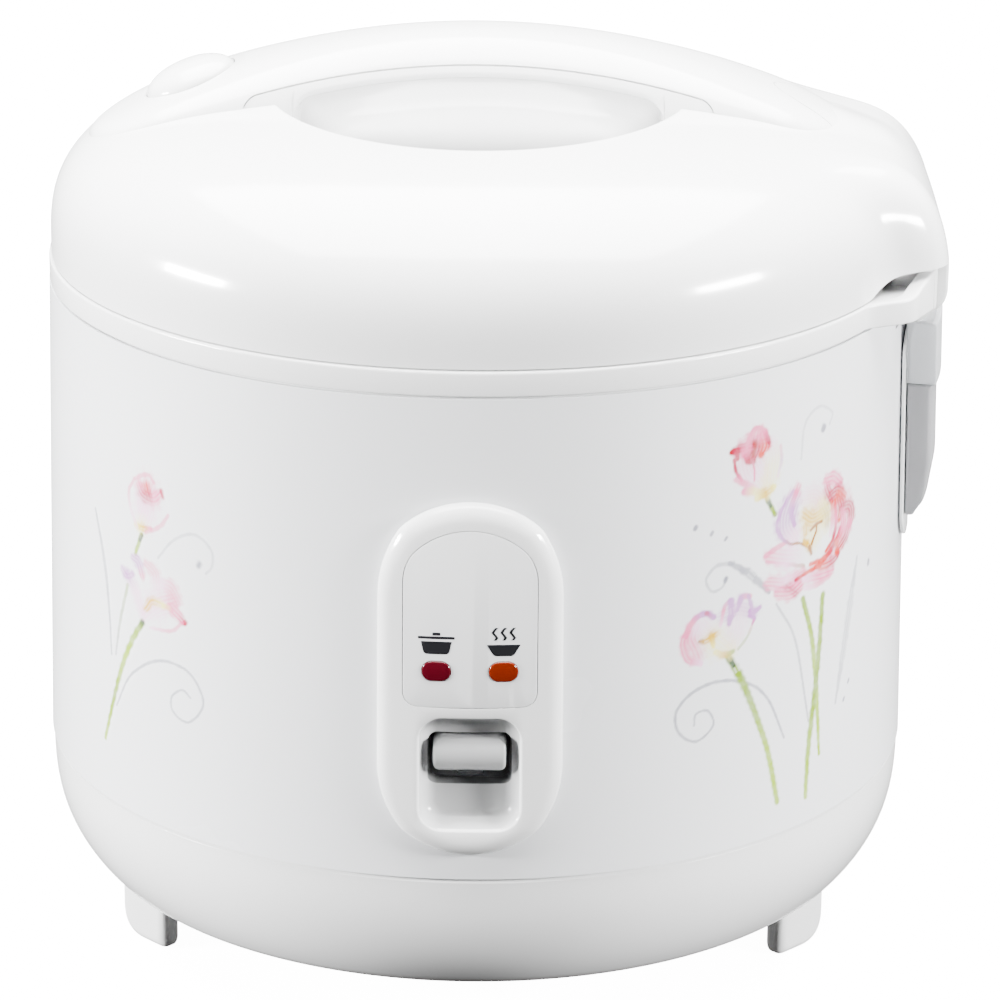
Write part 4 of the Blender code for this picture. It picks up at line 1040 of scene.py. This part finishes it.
def paint_bloom(art):
    """The large open flower in the middle of the right-hand bunch."""
    art.brush([(110, 147), (111, 155), (112.5, 162.5)], (8, 15, 11), (CREAM, CREAM, PAPER), 0.4, 0.8)
    art.brush([(106.5, 161.5), (112.5, 160), (117, 151)], (7, 9, 8), (PETAL, BLUSH, CREAM), 0.3, 0.9)
    art.brush([(107, 155.8), (110.5, 153.6), (116.5, 154.6)], (5, 7, 6.5),
              (YELLOW, YELLOW, CREAM), 0.66, 0.8)
    art.brush([(114.5, 158), (117.2, 154), (117.6, 150)], (4, 5, 3), (CREAM, ORANGE, ORANGE), 0.3, 0.9)
    art.brush([(107, 152), (107.2, 150)], (3.4, 2.6), (YELLOW,), 0.45, 0.9)
    art.brush([(120, 161), (126.4, 154), (126.6, 147), (120, 140.4)], (6, 9, 9, 6), (BLUSH,), 0.4, 0.7)
    art.brush([(99, 137.2), (109, 137), (119.6, 138.4)], (5, 6, 6), (BLUSH,), 0.3, 0.8)
    art.brush([(101.5, 150.5), (98.8, 155), (100.5, 160.5), (103.4, 165)], (7, 9.5, 8, 3.4),
              (PETAL, LILAC, LILAC, BLUSH), 0.5)
    art.brush([(98, 150), (95, 155), (97, 160), (101.5, 164.4)], (1.3, 1.5, 1.4, 1.2), (LILAC,), 0.45)
    art.brush([(102.3, 154), (100.8, 159), (102.8, 164)], (1.6, 2.4, 2.0), (LILAC, LILAC, BLUSH), 0.5)
    art.brush([(108, 143), (100, 144.5), (91.6, 147)], (7, 9, 4), (PAPER, PETAL, BLUSH), 0.5, 0.7)
    art.brush([(90.6, 147.2), (95, 148.7), (99, 149.4)], (1.7, 2.0, 1.3), (BLUSH,), 0.45)
    art.brush([(97, 151), (100.5, 148.6), (104.5, 147.8), (107.8, 146)], (1.1, 0.9, 0.9, 1.1),
              (LILAC, ORANGE, ORANGE), 0.55)
    art.brush([(91, 145.4), (97, 143.5), (106.6, 140.2)], (1.1, 1.0, 1.4), (BLUSH, PETAL, ORANGE), 0.45)
    art.brush([(92.4, 138.6), (99, 137), (106, 138.4)], (4.6, 5.4, 3.4), (BLUSH, PETAL, BLUSH), 0.55)
    art.brush([(96, 134.8), (101, 133.8), (105, 135.2)], (4, 5.6, 4.4), (BLUSH,), 0.75)
    art.brush([(99.5, 135.6), (103.6, 132.6)], (3.0, 3.2), (ROSE,), 0.4, 0.9)
    art.brush([(107, 136.2), (114, 135.4), (120, 135)], (2.4, 3.8, 3.0), (PETAL, BLUSH, BLUSH), 0.6)
    art.brush([(107.5, 133.2), (114, 133), (119.5, 134)], (1.8, 2.2, 1.8), (PETAL, BLUSH, BLUSH), 0.4)
    art.brush([(112, 138.6), (117, 137.8), (121.4, 138.3), (123.6, 139.6)], (1.8, 3.0, 3.6, 2.0),
              (CORAL, CORAL, ROSE, ROSE), 0.75)
    art.brush([(103, 136.8), (108, 137.9), (114, 138.8), (120, 141.5)], (1.2, 1.4, 1.6, 1.4),
              (ROSE, CORAL, CORAL, ROSE), 0.85)
    art.brush([(109.6, 140), (115.5, 140.1), (121, 142.8), (124.6, 147)], (1.4, 1.8, 1.9, 1.4),
              (CORAL, CORAL, ROSE, ROSE), 0.8)
    art.brush([(116.6, 164.2), (120.5, 163.8), (123.8, 161.4)], (3.4, 4.6, 3.6), (BLUSH,), 0.7)
    art.brush([(116.4, 163.4), (117.6, 160), (119.6, 157)], (2.6, 4.2, 3.4), (BLUSH, ROSE, ROSE), 0.6, 0.8)
    art.brush([(119, 158.2), (122.5, 158.8), (126, 156.4)], (3.2, 5.4, 3.4), (ROSE, ROSE, CORAL), 0.75)
    art.brush([(123.2, 157.4), (124.6, 153.6), (123.8, 150)], (4.2, 4.8, 2.4), (CORAL, ROSE, CORAL), 0.7)
    art.brush([(125.6, 153), (129.4, 152.4), (130.8, 149.4), (129.4, 146.4)], (3, 4.4, 4.6, 3.2),
              (ROSE, ROSE, ROSE, BLUSH), 0.75)
    art.brush([(129.4, 147), (127.4, 143.4), (122.4, 140.2)], (3.4, 3.6, 2.2), (BLUSH, ROSE, CORAL), 0.75)
    art.brush([(125.8, 151.6), (125.8, 147), (122.6, 143)], (3, 3.8, 2.4), (BLUSH, BLUSH, CORAL), 0.55)
    art.brush([(121.4, 156.6), (122, 150), (120.6, 145), (117, 142)], (1.4, 1.8, 1.7, 1.3),
              (CORAL, BLUSH, ROSE, CORAL), 0.65)
    art.brush([(119.6, 156), (120.4, 151), (119, 146.6)], (1.8, 2.4, 1.4), (CORAL, BLUSH, PETAL), 0.45)
    art.brush([(106.6, 148), (108.6, 146.2), (110, 143.2)], (1.9, 3.0, 1.4),
              (YELLOW, YELLOW, ORANGE), 0.85, 0.8)
    art.brush([(109, 145.6), (109.8, 143.8)], (1.4, 1.0), (ORANGE,), 0.7)
    art.brush([(110, 146.2), (111.9, 149.3), (112.2, 151)], (1.0, 0.9, 0.8), (ORANGE,), 0.6)
    art.brush([(109.6, 150.5), (112, 151.6), (114.8, 151.8)], (0.9, 1.2, 0.9), (ORANGE,), 0.65)


def paint_cup(art):
    """The lilac flower at the foot of the right-hand bunch."""
    art.brush([(78, 120.4), (73, 125), (68.4, 130)], (4, 11, 9), (CREAM, CREAM, PETAL), 0.3, 0.8)
    art.brush([(78.4, 120.4), (80, 127), (81, 133)], (4, 9, 8), (CREAM, PETAL, PETAL), 0.3, 0.8)
    art.brush([(75.5, 132.4), (81, 133.6), (86.4, 131.4)], (5, 6, 5), (LILAC,), 0.3, 0.8)
    art.brush([(65.4, 131), (64.6, 127), (67, 121.6)], (5, 6, 5), (PETAL, BLUSH, BLUSH), 0.5, 0.9)
    art.brush([(72, 132.6), (69.5, 134.2), (66, 133.2), (63.4, 129.5), (62.3, 125.5), (64, 121.3),
               (68, 119.2)], (2.0, 2.1, 2.1, 2.5, 3.2, 2.8, 1.9),
              (LILAC, LILAC, BLUSH, BLUSH, BLUSH, BLUSH, PETAL), 0.6)
    art.brush([(69.8, 134.2), (72, 132.4)], (1.5, 1.1), (ROSE, LILAC), 0.45)
    art.brush([(74.6, 129.5), (76, 135), (78.6, 136.3)], (1.1, 1.3, 1.9), (PETAL, BLUSH, LILAC), 0.5)
    art.brush([(78, 136), (78.4, 132.5), (77.6, 129.6)], (2.3, 2.9, 1.7), (LILAC,), 0.65)
    art.brush([(80.4, 133), (82, 136.6), (85, 136.2)], (1.3, 2.5, 1.7), (LILAC, LILAC, BLUSH), 0.5)
    art.brush([(84.4, 136.5), (85.6, 133), (85.8, 131)], (1.3, 1.5, 1.3), (LILAC,), 0.5)
    art.brush([(85, 131.8), (87, 131.3), (88.8, 132)], (1.7, 2.2, 1.4), (LILAC,), 0.8)
    art.brush([(85, 130.4), (86.6, 129.2), (86, 127.6)], (1.7, 1.5, 0.9), (LILAC,), 0.75)
    art.brush([(86.4, 128.4), (84.5, 124.5), (81, 121)], (1.0,), (BLUSH, GREEN, GREEN), 0.3)
    art.brush([(67.4, 126), (69.6, 125.9), (72.4, 127.2)], (1.2, 3.4, 3.8),
              (ORANGE, YELLOW, YELLOW), 0.7, 0.9)
    art.brush([(71.6, 126.6), (72.2, 123.4)], (2.6, 1.2), (YELLOW, CREAM), 0.6)
    art.brush([(73, 121.6), (76.4, 120.2), (79, 120.6)], (1.8, 2.5, 1.6), (CREAM, YELLOW, GREEN), 0.45)


def paint_right():
    art = Canvas((56.0, 64.0), (145.5, 190.5), 1.75)
    grey = (LEAF_GREY,)
    art.brush([(95.2, 131.5), (103.4, 118), (109.9, 91.1)], (0.8, 1.0, 0.8), grey, 0.35)
    art.brush([(99.3, 88.9), (92.6, 102.5), (85.2, 109.3), (75.4, 112.4), (66.4, 111.2), (60.4, 106.1),
               (60.9, 99.5), (66.7, 95.5), (72.5, 99.3), (70.6, 104.2), (66.6, 103.9), (66.1, 100.6)],
              (0.7, 1.0, 1.1, 0.8, 0.7), grey, 0.42)
    art.brush([(78.7, 147.6), (73.1, 147.9), (69.5, 144.5), (71.4, 140.5), (74.9, 141), (76.3, 143.6)],
              (1.5, 0.9, 0.8), grey, 0.3)
    art.brush([(77.5, 147.8), (84.5, 143.2), (92.3, 135.8)], (1.4, 2.9, 1.4), grey, 0.45)
    art.brush([(134.8, 135), (131.6, 124), (128, 110), (123.4, 92.5)], (1.0, 3.6, 3.0, 0.9), grey, 0.3)
    art.brush([(104.7, 173.4), (106.2, 183.5), (112.5, 187.3), (119, 184), (117.8, 180.7)],
              (0.9, 1.0, 0.8), grey, 0.2)
    for along, z, size in ((114.8, 180.3, 2.2), (65.7, 160.6, 1.3), (71.2, 158, 1.2), (76, 155.5, 1.0),
                           (142.8, 130.8, 1.7), (130.7, 97.1, 1.1), (128.2, 92.3, 1.1), (76.2, 143.2, 1.5)):
        art.brush([(along - 0.2, z - 0.3), (along + 0.2, z + 0.3)], (size,), grey, 0.5)
    art.brush([(106.5, 130), (110.5, 118), (113, 104), (114.4, 89.5), (115.3, 79)], (2.2, 2.2, 2.0, 1.2),
              (GREEN, PALE_GREEN, PALE_GREEN), 0.6)
    art.brush([(115.8, 129), (114.6, 114), (112.8, 100), (110.1, 82.5), (109.1, 67.3)],
              (2.2, 2.4, 2.4, 1.8), (GREEN, GREEN, PALE_GREEN), 0.8)
    art.brush([(77.4, 119.4), (82.6, 110.6), (90.6, 92.1), (93.3, 83.8), (96.9, 69.3)],
              (2.8, 2.4, 2.2, 1.9), (GREEN, GREEN, PALE_GREEN, PALE_GREEN), 0.85)
    art.brush([(77.6, 119.2), (79.4, 116.4)], (2.0, 1.6), (DEEP_GREEN,), 0.8)
    art.brush([(91, 164.4), (94.2, 159)], (1.9, 1.7), (GREEN,), 0.8)
    art.brush([(91, 164.4), (92.4, 162)], (1.5, 1.2), (DEEP_GREEN,), 0.7)
    paint_bud(art)
    paint_bloom(art)
    paint_cup(art)
    return art.finish("print_right")


def paint_left():
    art = Canvas((-136.0, 74.0), (-76.0, 171.0), 2.1)
    grey = (LEAF_GREY,)
    art.brush([(-119.7, 90.7), (-112.3, 102.5), (-99.7, 110.7), (-88, 110.9), (-82.1, 104.8),
               (-82.5, 99.7), (-87.7, 94.8), (-93.5, 96.8), (-93.9, 101.1), (-89.7, 104.4),
               (-86.5, 102.8)], (0.7, 1.0, 0.8, 0.7), grey, 0.32)
    art.brush([(-99.5, 142.5), (-92.8, 149.7), (-84.7, 153.2), (-78.6, 150), (-78.3, 145),
               (-80.5, 142.4)], (0.8, 1.0, 0.8), grey, 0.2)
    art.brush([(-83.2, 144.2), (-82.8, 144.9)], (2.2,), grey, 0.4, 0.9)
    art.brush([(-131.7, 148.4), (-127, 136), (-124, 122), (-122.4, 106)], (1.0, 1.8, 1.2, 0.8), grey, 0.3)
    art.brush([(-113.6, 130.3), (-117.6, 118), (-120.1, 106.7)], (1.4, 1.3, 0.9), (GREEN, LEAF_GREY), 0.3)
    art.brush([(-106.5, 120.8), (-112, 113), (-118, 101), (-126.4, 78)], (2.2, 2.2, 1.8, 1.5),
              (GREEN, PALE_GREEN, GREEN, PALE_GREEN), 0.6)
    art.brush([(-106.5, 120.8), (-108.2, 118.6)], (1.9, 1.3), (DEEP_GREEN, GREEN), 0.7)
    art.brush([(-106.9, 147.6), (-109.8, 141)], (1.8, 1.4), (GREEN, PALE_GREEN), 0.6)
    art.brush([(-106.6, 147.8), (-107.6, 145.8)], (1.5, 1.2), (DEEP_GREEN,), 0.5)
    # the bud
    art.brush([(-107, 150), (-105, 155), (-104, 160)], (5, 11, 12), (CREAM, PETAL, PETAL), 0.4, 0.9)
    art.brush([(-106.5, 157.5), (-104, 162)], (8, 11), (PETAL, BLUSH), 0.3, 0.9)
    art.brush([(-109.6, 150), (-106, 150), (-102.6, 150.6)], (2, 3, 1.6), (CREAM, YELLOW, BLUSH), 0.6, 0.8)
    art.brush([(-109, 149.6), (-112, 154.5), (-112.8, 159.5), (-110, 164)], (1.2, 1.3, 1.3, 1.1),
              (PETAL, PETAL, BLUSH, BLUSH), 0.3)
    art.brush([(-105, 148.8), (-100.2, 151.2), (-97, 154), (-95.2, 156.6)], (1.1, 1.4, 1.5, 1.1),
              (BLUSH,), 0.3)
    art.brush([(-109.6, 164), (-106.8, 165.8), (-103.6, 166.7), (-101, 165)], (1.2, 1.4, 1.4, 1.0),
              (BLUSH,), 0.3)
    art.brush([(-108, 163), (-106, 160.4), (-101.4, 160), (-98.6, 162.4)], (3.6, 5.4, 5.0, 3.2),
              (BLUSH, ROSE, BLUSH, BLUSH), 0.54, 0.8)
    art.brush([(-104.4, 163), (-103.6, 160.6)], (4.6, 4.2), (CORAL, ROSE), 0.68, 0.9)
    art.brush([(-97.4, 161.6), (-98.2, 163.4)], (1.6,), (ROSE,), 0.75, 0.9)
    # the open flower
    art.brush([(-106, 123), (-100, 128), (-94, 131)], (4, 11, 7), (PETAL, PETAL, BLUSH), 0.38, 0.9)
    art.brush([(-107, 124), (-110, 130), (-114, 133.6)], (4, 6, 4), (PETAL, PETAL, LILAC), 0.38, 0.9)
    art.brush([(-116, 134.4), (-114.2, 133.2), (-111.6, 134.4)], (2.8, 3.6, 2.6), (LILAC,), 0.39)
    art.brush([(-110.6, 139.6), (-108.4, 138.8), (-106.4, 135.2)], (3.0, 4.4, 2.8),
              (LILAC, LILAC, BLUSH), 0.42)
    art.brush([(-104.6, 139.4), (-101, 137.4), (-100.4, 134)], (3.0, 5.0, 4.0), (BLUSH, BLUSH, PETAL), 0.33)
    art.brush([(-97.6, 135), (-94, 134.6), (-91.6, 131.6)], (4.0, 5.6, 4.0), (PETAL, BLUSH, BLUSH), 0.36)
    art.brush([(-94, 128.6), (-91, 127), (-88.6, 125.4)], (4.0, 4.0, 2.2), (BLUSH, BLUSH, ROSE), 0.54)
    art.brush([(-89.6, 125.2), (-94, 121.6), (-103, 120)], (1.2, 1.2, 1.0), (BLUSH, BLUSH, PETAL), 0.33)
    art.brush([(-104.8, 125.6), (-102, 128.6), (-96, 128.4), (-93.6, 127.8)], (3.0, 3.4, 2.6, 1.4),
              (YELLOW, YELLOW, CREAM, BLUSH), 0.54, 0.8)
    return art.finish("print_left")


# ---------------------------------------------------------------- dew collector

def dew_shape(name, outline, half, edge):
    """A piece with one side view (distance out of the drum, z), still flat; make_dew bends it round the
    drum afterwards.
    """
    def at(inset):
        middle = np.mean(np.array(outline), axis=0)
        span = np.max(np.abs(np.array(outline) - middle), axis=0)
        return [(-(middle[0] + (a - middle[0]) * (1 - inset / span[0])),
                 middle[1] + (b - middle[1]) * (1 - inset / span[1])) for a, b in outline]
    return soft_prism(name, at, -half, half, edge, "X", steps=4)


def make_dew():
    def plate_at(inset):
        return rounded_rect(DEW_HALF + 0.6 - inset, 33.4 - inset, 9.0, (0.0, 160.2))
    plate = soft_prism("dew_plate", plate_at, -1.7, -0.6, 0.35, "Y")
    dress(wrap(plate, 0.0), WHITE, "housing", ["dew_bracket"])

    outer = rounded([(1.9, 135.2, 0.8), (4.0, 135.3, 2.5), (7.6, 140.0, 6.0), (9.6, 152.0, 8.0),
                     (9.6, 177.0, 0.0), (1.9, 177.0, 0.0)], steps=8)
    cup = dew_shape("cup", outer, DEW_HALF, 1.5)
    inside = [(-3.0, 139.0), (-5.0, 140.4), (-8.3, 153.0), (-8.3, 200.0), (-3.0, 200.0)]
    cut(cup, prism("inside", inside, -DEW_HALF + 2.0, DEW_HALF - 2.0, "X"))
    dress(wrap(cup, 0.0, 3.0), SMOKE, "collector", ["dew_cup"])

    outer = rounded([(1.9, 177.3, 0.3), (10.9, 177.3, 0.6), (10.9, 196.6, 0.8), (1.9, 196.6, 0.3)],
                    steps=5)
    cover = dew_shape("cup_cover", outer, DEW_HALF + 0.6, 0.5)
    cut(cover, box("inside", (-DEW_HALF + 1.0, -9.3, 160.0), (DEW_HALF - 1.0, -3.0, 210.0)))
    dress(wrap(cover, 0.0, 3.0), CLEAR, "collector", ["dew_cover"])


# ---------------------------------------------------------------- inside

def make_inside():
    low = 70.0
    pan = lathe("pan", rounded([
        (0.0, low, 0), (88.0, low, 6.0), (99.5, low + 7.0, 8.0), (100.5, low + 13.0, 2.0),
        (100.5, 208.3, 0.8), (110.6, 208.3, 0.6), (110.6, 209.8, 0.6), (99.0, 209.8, 1.2),
        (99.0, low + 13.4, 2.0), (98.0, low + 8.2, 6.0), (87.5, low + 1.5, 6.0),
        (0.0, low + 1.5, 0)]))
    dress(pan, PAN_COAT, "housing", ["inner_pan"])


MATERIAL_OF_SLOT = {
    "white_shell": WHITE, "white_matte": WHITE_SATIN, "drum_paint": PEARL, "label_film": PANEL_GREY,
    "red_lens": RED, "amber_lens": AMBER, "key_grey": KEY_GREY, "clear_plastic": CLEAR,
    "smoke_plastic": SMOKE, "lamp_glass": LAMP, "aluminium": ALUMINIUM, "pan_coating": PAN_COAT,
    "steel": STEEL, "brass": BRASS, "dark_plastic": BLACK_PART, "grey_plastic": GREY_PART,
    "ceramic": CERAMIC, "board": BOARD, "band_silicone": BAND, "silicone": SILICONE}


def dress_nodes():
    """Give every CAD node that is still shown the look of its material slot."""
    for row in frame["record"]["subparts"]:
        node = frame["nodes"].get(row["node"])
        if node is None:
            continue
        node.data.materials.clear()
        node.data.materials.append(MATERIAL_OF_SLOT[row["material_slot"]])
        node.data.shade_smooth()
        node.data.set_sharp_from_angle(angle=math.radians(32.0))


# ---------------------------------------------------------------- studio

def make_floor():
    mesh = bpy.data.meshes.new("floor")
    size = 30.0
    mesh.from_pydata([(-size, -size, 0), (size, -size, 0), (size, size, 0), (-size, size, 0)], [],
                     [(0, 1, 2, 3)])
    floor = bpy.data.objects.new("floor", mesh)
    bpy.context.collection.objects.link(floor)
    look = plastic("floor_white", (0.93, 0.93, 0.93), 0.8, bump=0.0)
    shader = look.node_tree.nodes["Principled BSDF"]
    shader.inputs["Emission Color"].default_value = (1.0, 1.0, 1.0, 1.0)
    shader.inputs["Emission Strength"].default_value = FLOOR_GLOW
    floor.data.materials.append(look)
    floor.visible_diffuse = False
    floor.visible_glossy = False
    floor.visible_shadow = False


def area_light(name, place, target, width, height, power):
    data = bpy.data.lights.new(name, "AREA")
    data.shape = "RECTANGLE"
    data.size, data.size_y = width, height
    data.energy = power
    light = bpy.data.objects.new(name, data)
    bpy.context.collection.objects.link(light)
    light.location = place
    aim = (Vector(target) - Vector(place)).to_track_quat("-Z", "Y")
    light.rotation_euler = aim.to_euler()
    return light


def make_world():
    """Soft surroundings: bright at the sides and behind, dim in front and dimmer still below."""
    world = bpy.data.worlds.new("studio")
    bpy.context.scene.world = world
    world.use_nodes = True
    nodes, links = world.node_tree.nodes, world.node_tree.links
    back = nodes["Background"]
    place = nodes.new("ShaderNodeTexCoord")
    split = nodes.new("ShaderNodeSeparateXYZ")
    links.new(place.outputs["Generated"], split.inputs["Vector"])

    def ramp(socket, low, high, to_low, to_high):
        node = nodes.new("ShaderNodeMapRange")
        node.interpolation_type = "SMOOTHSTEP"
        node.inputs["From Min"].default_value = low
        node.inputs["From Max"].default_value = high
        node.inputs["To Min"].default_value = to_low
        node.inputs["To Max"].default_value = to_high
        links.new(socket, node.inputs["Value"])
        return node.outputs["Result"]

    def maths(operation, first, second):
        node = nodes.new("ShaderNodeMath")
        node.operation = operation
        for socket, value in zip(node.inputs, (first, second)):
            if isinstance(value, float):
                socket.default_value = value
            else:
                links.new(value, socket)
        return node.outputs["Value"]

    front = ramp(split.outputs["Z"], -0.35, 0.3, SKY_FRONT_LOW, SKY_FRONT)
    depth = ramp(split.outputs["Y"], -0.6, 0.2, 0.0, 1.0)
    sides = ramp(split.outputs["X"], -1.0, 1.0, 1.25, 0.98)
    under = ramp(split.outputs["Z"], -0.8, -0.15, 0.15, 1.0)
    far = maths("MULTIPLY", depth, SKY_BACK)
    near = maths("MULTIPLY", front, maths("SUBTRACT", 1.0, depth))
    total = maths("MULTIPLY", maths("ADD", far, near), maths("MULTIPLY", sides, under))
    links.new(total, back.inputs["Strength"])


def make_studio():
    make_floor()
    make_world()
    aim = (0.0, 0.0, 0.14)
    area_light("side_left", (-1.42, -0.36, 0.40), aim, 0.5, 0.16, 104.0)
    area_light("side_right", (1.33, -0.56, 0.50), aim, 0.5, 0.16, 72.0)
    area_light("top", (0.0, 0.35, 1.75), (0.0, 0.3, 0.0), 2.2, 1.9, 420.0)


def make_camera():
    elevation, distance, roll = math.radians(19.4), 1.365, math.radians(0.457)
    yaw = math.radians(0.42)
    spin = Matrix.Rotation(yaw, 3, "Z")
    target = Vector((0.0021, 0.002, 0.12805))
    out = spin @ Vector((0.0, -math.cos(elevation), math.sin(elevation)))
    data = bpy.data.cameras.new("camera")
    data.sensor_width = 36.0
    data.lens = 158.5
    camera = bpy.data.objects.new("camera", data)
    bpy.context.collection.objects.link(camera)
    right = spin @ Vector((1.0, 0.0, 0.0))
    up = out.cross(right)
    turned_right = right * math.cos(roll) + up * math.sin(roll)
    turned_up = up * math.cos(roll) - right * math.sin(roll)
    turn = Matrix((turned_right, turned_up, out)).transposed()
    camera.matrix_world = Matrix.Translation(target + out * distance) @ turn.to_4x4()
    bpy.context.scene.camera = camera


dress_nodes()
make_lid()
make_barrel()
make_well()
make_handle_cover()
make_grip()
make_button()
make_ring()
make_drum()
make_base()
make_feet()
make_panel()
make_marks()
make_key()
paint_left()
paint_right()
make_dew()
make_inside()
make_studio()
make_camera()
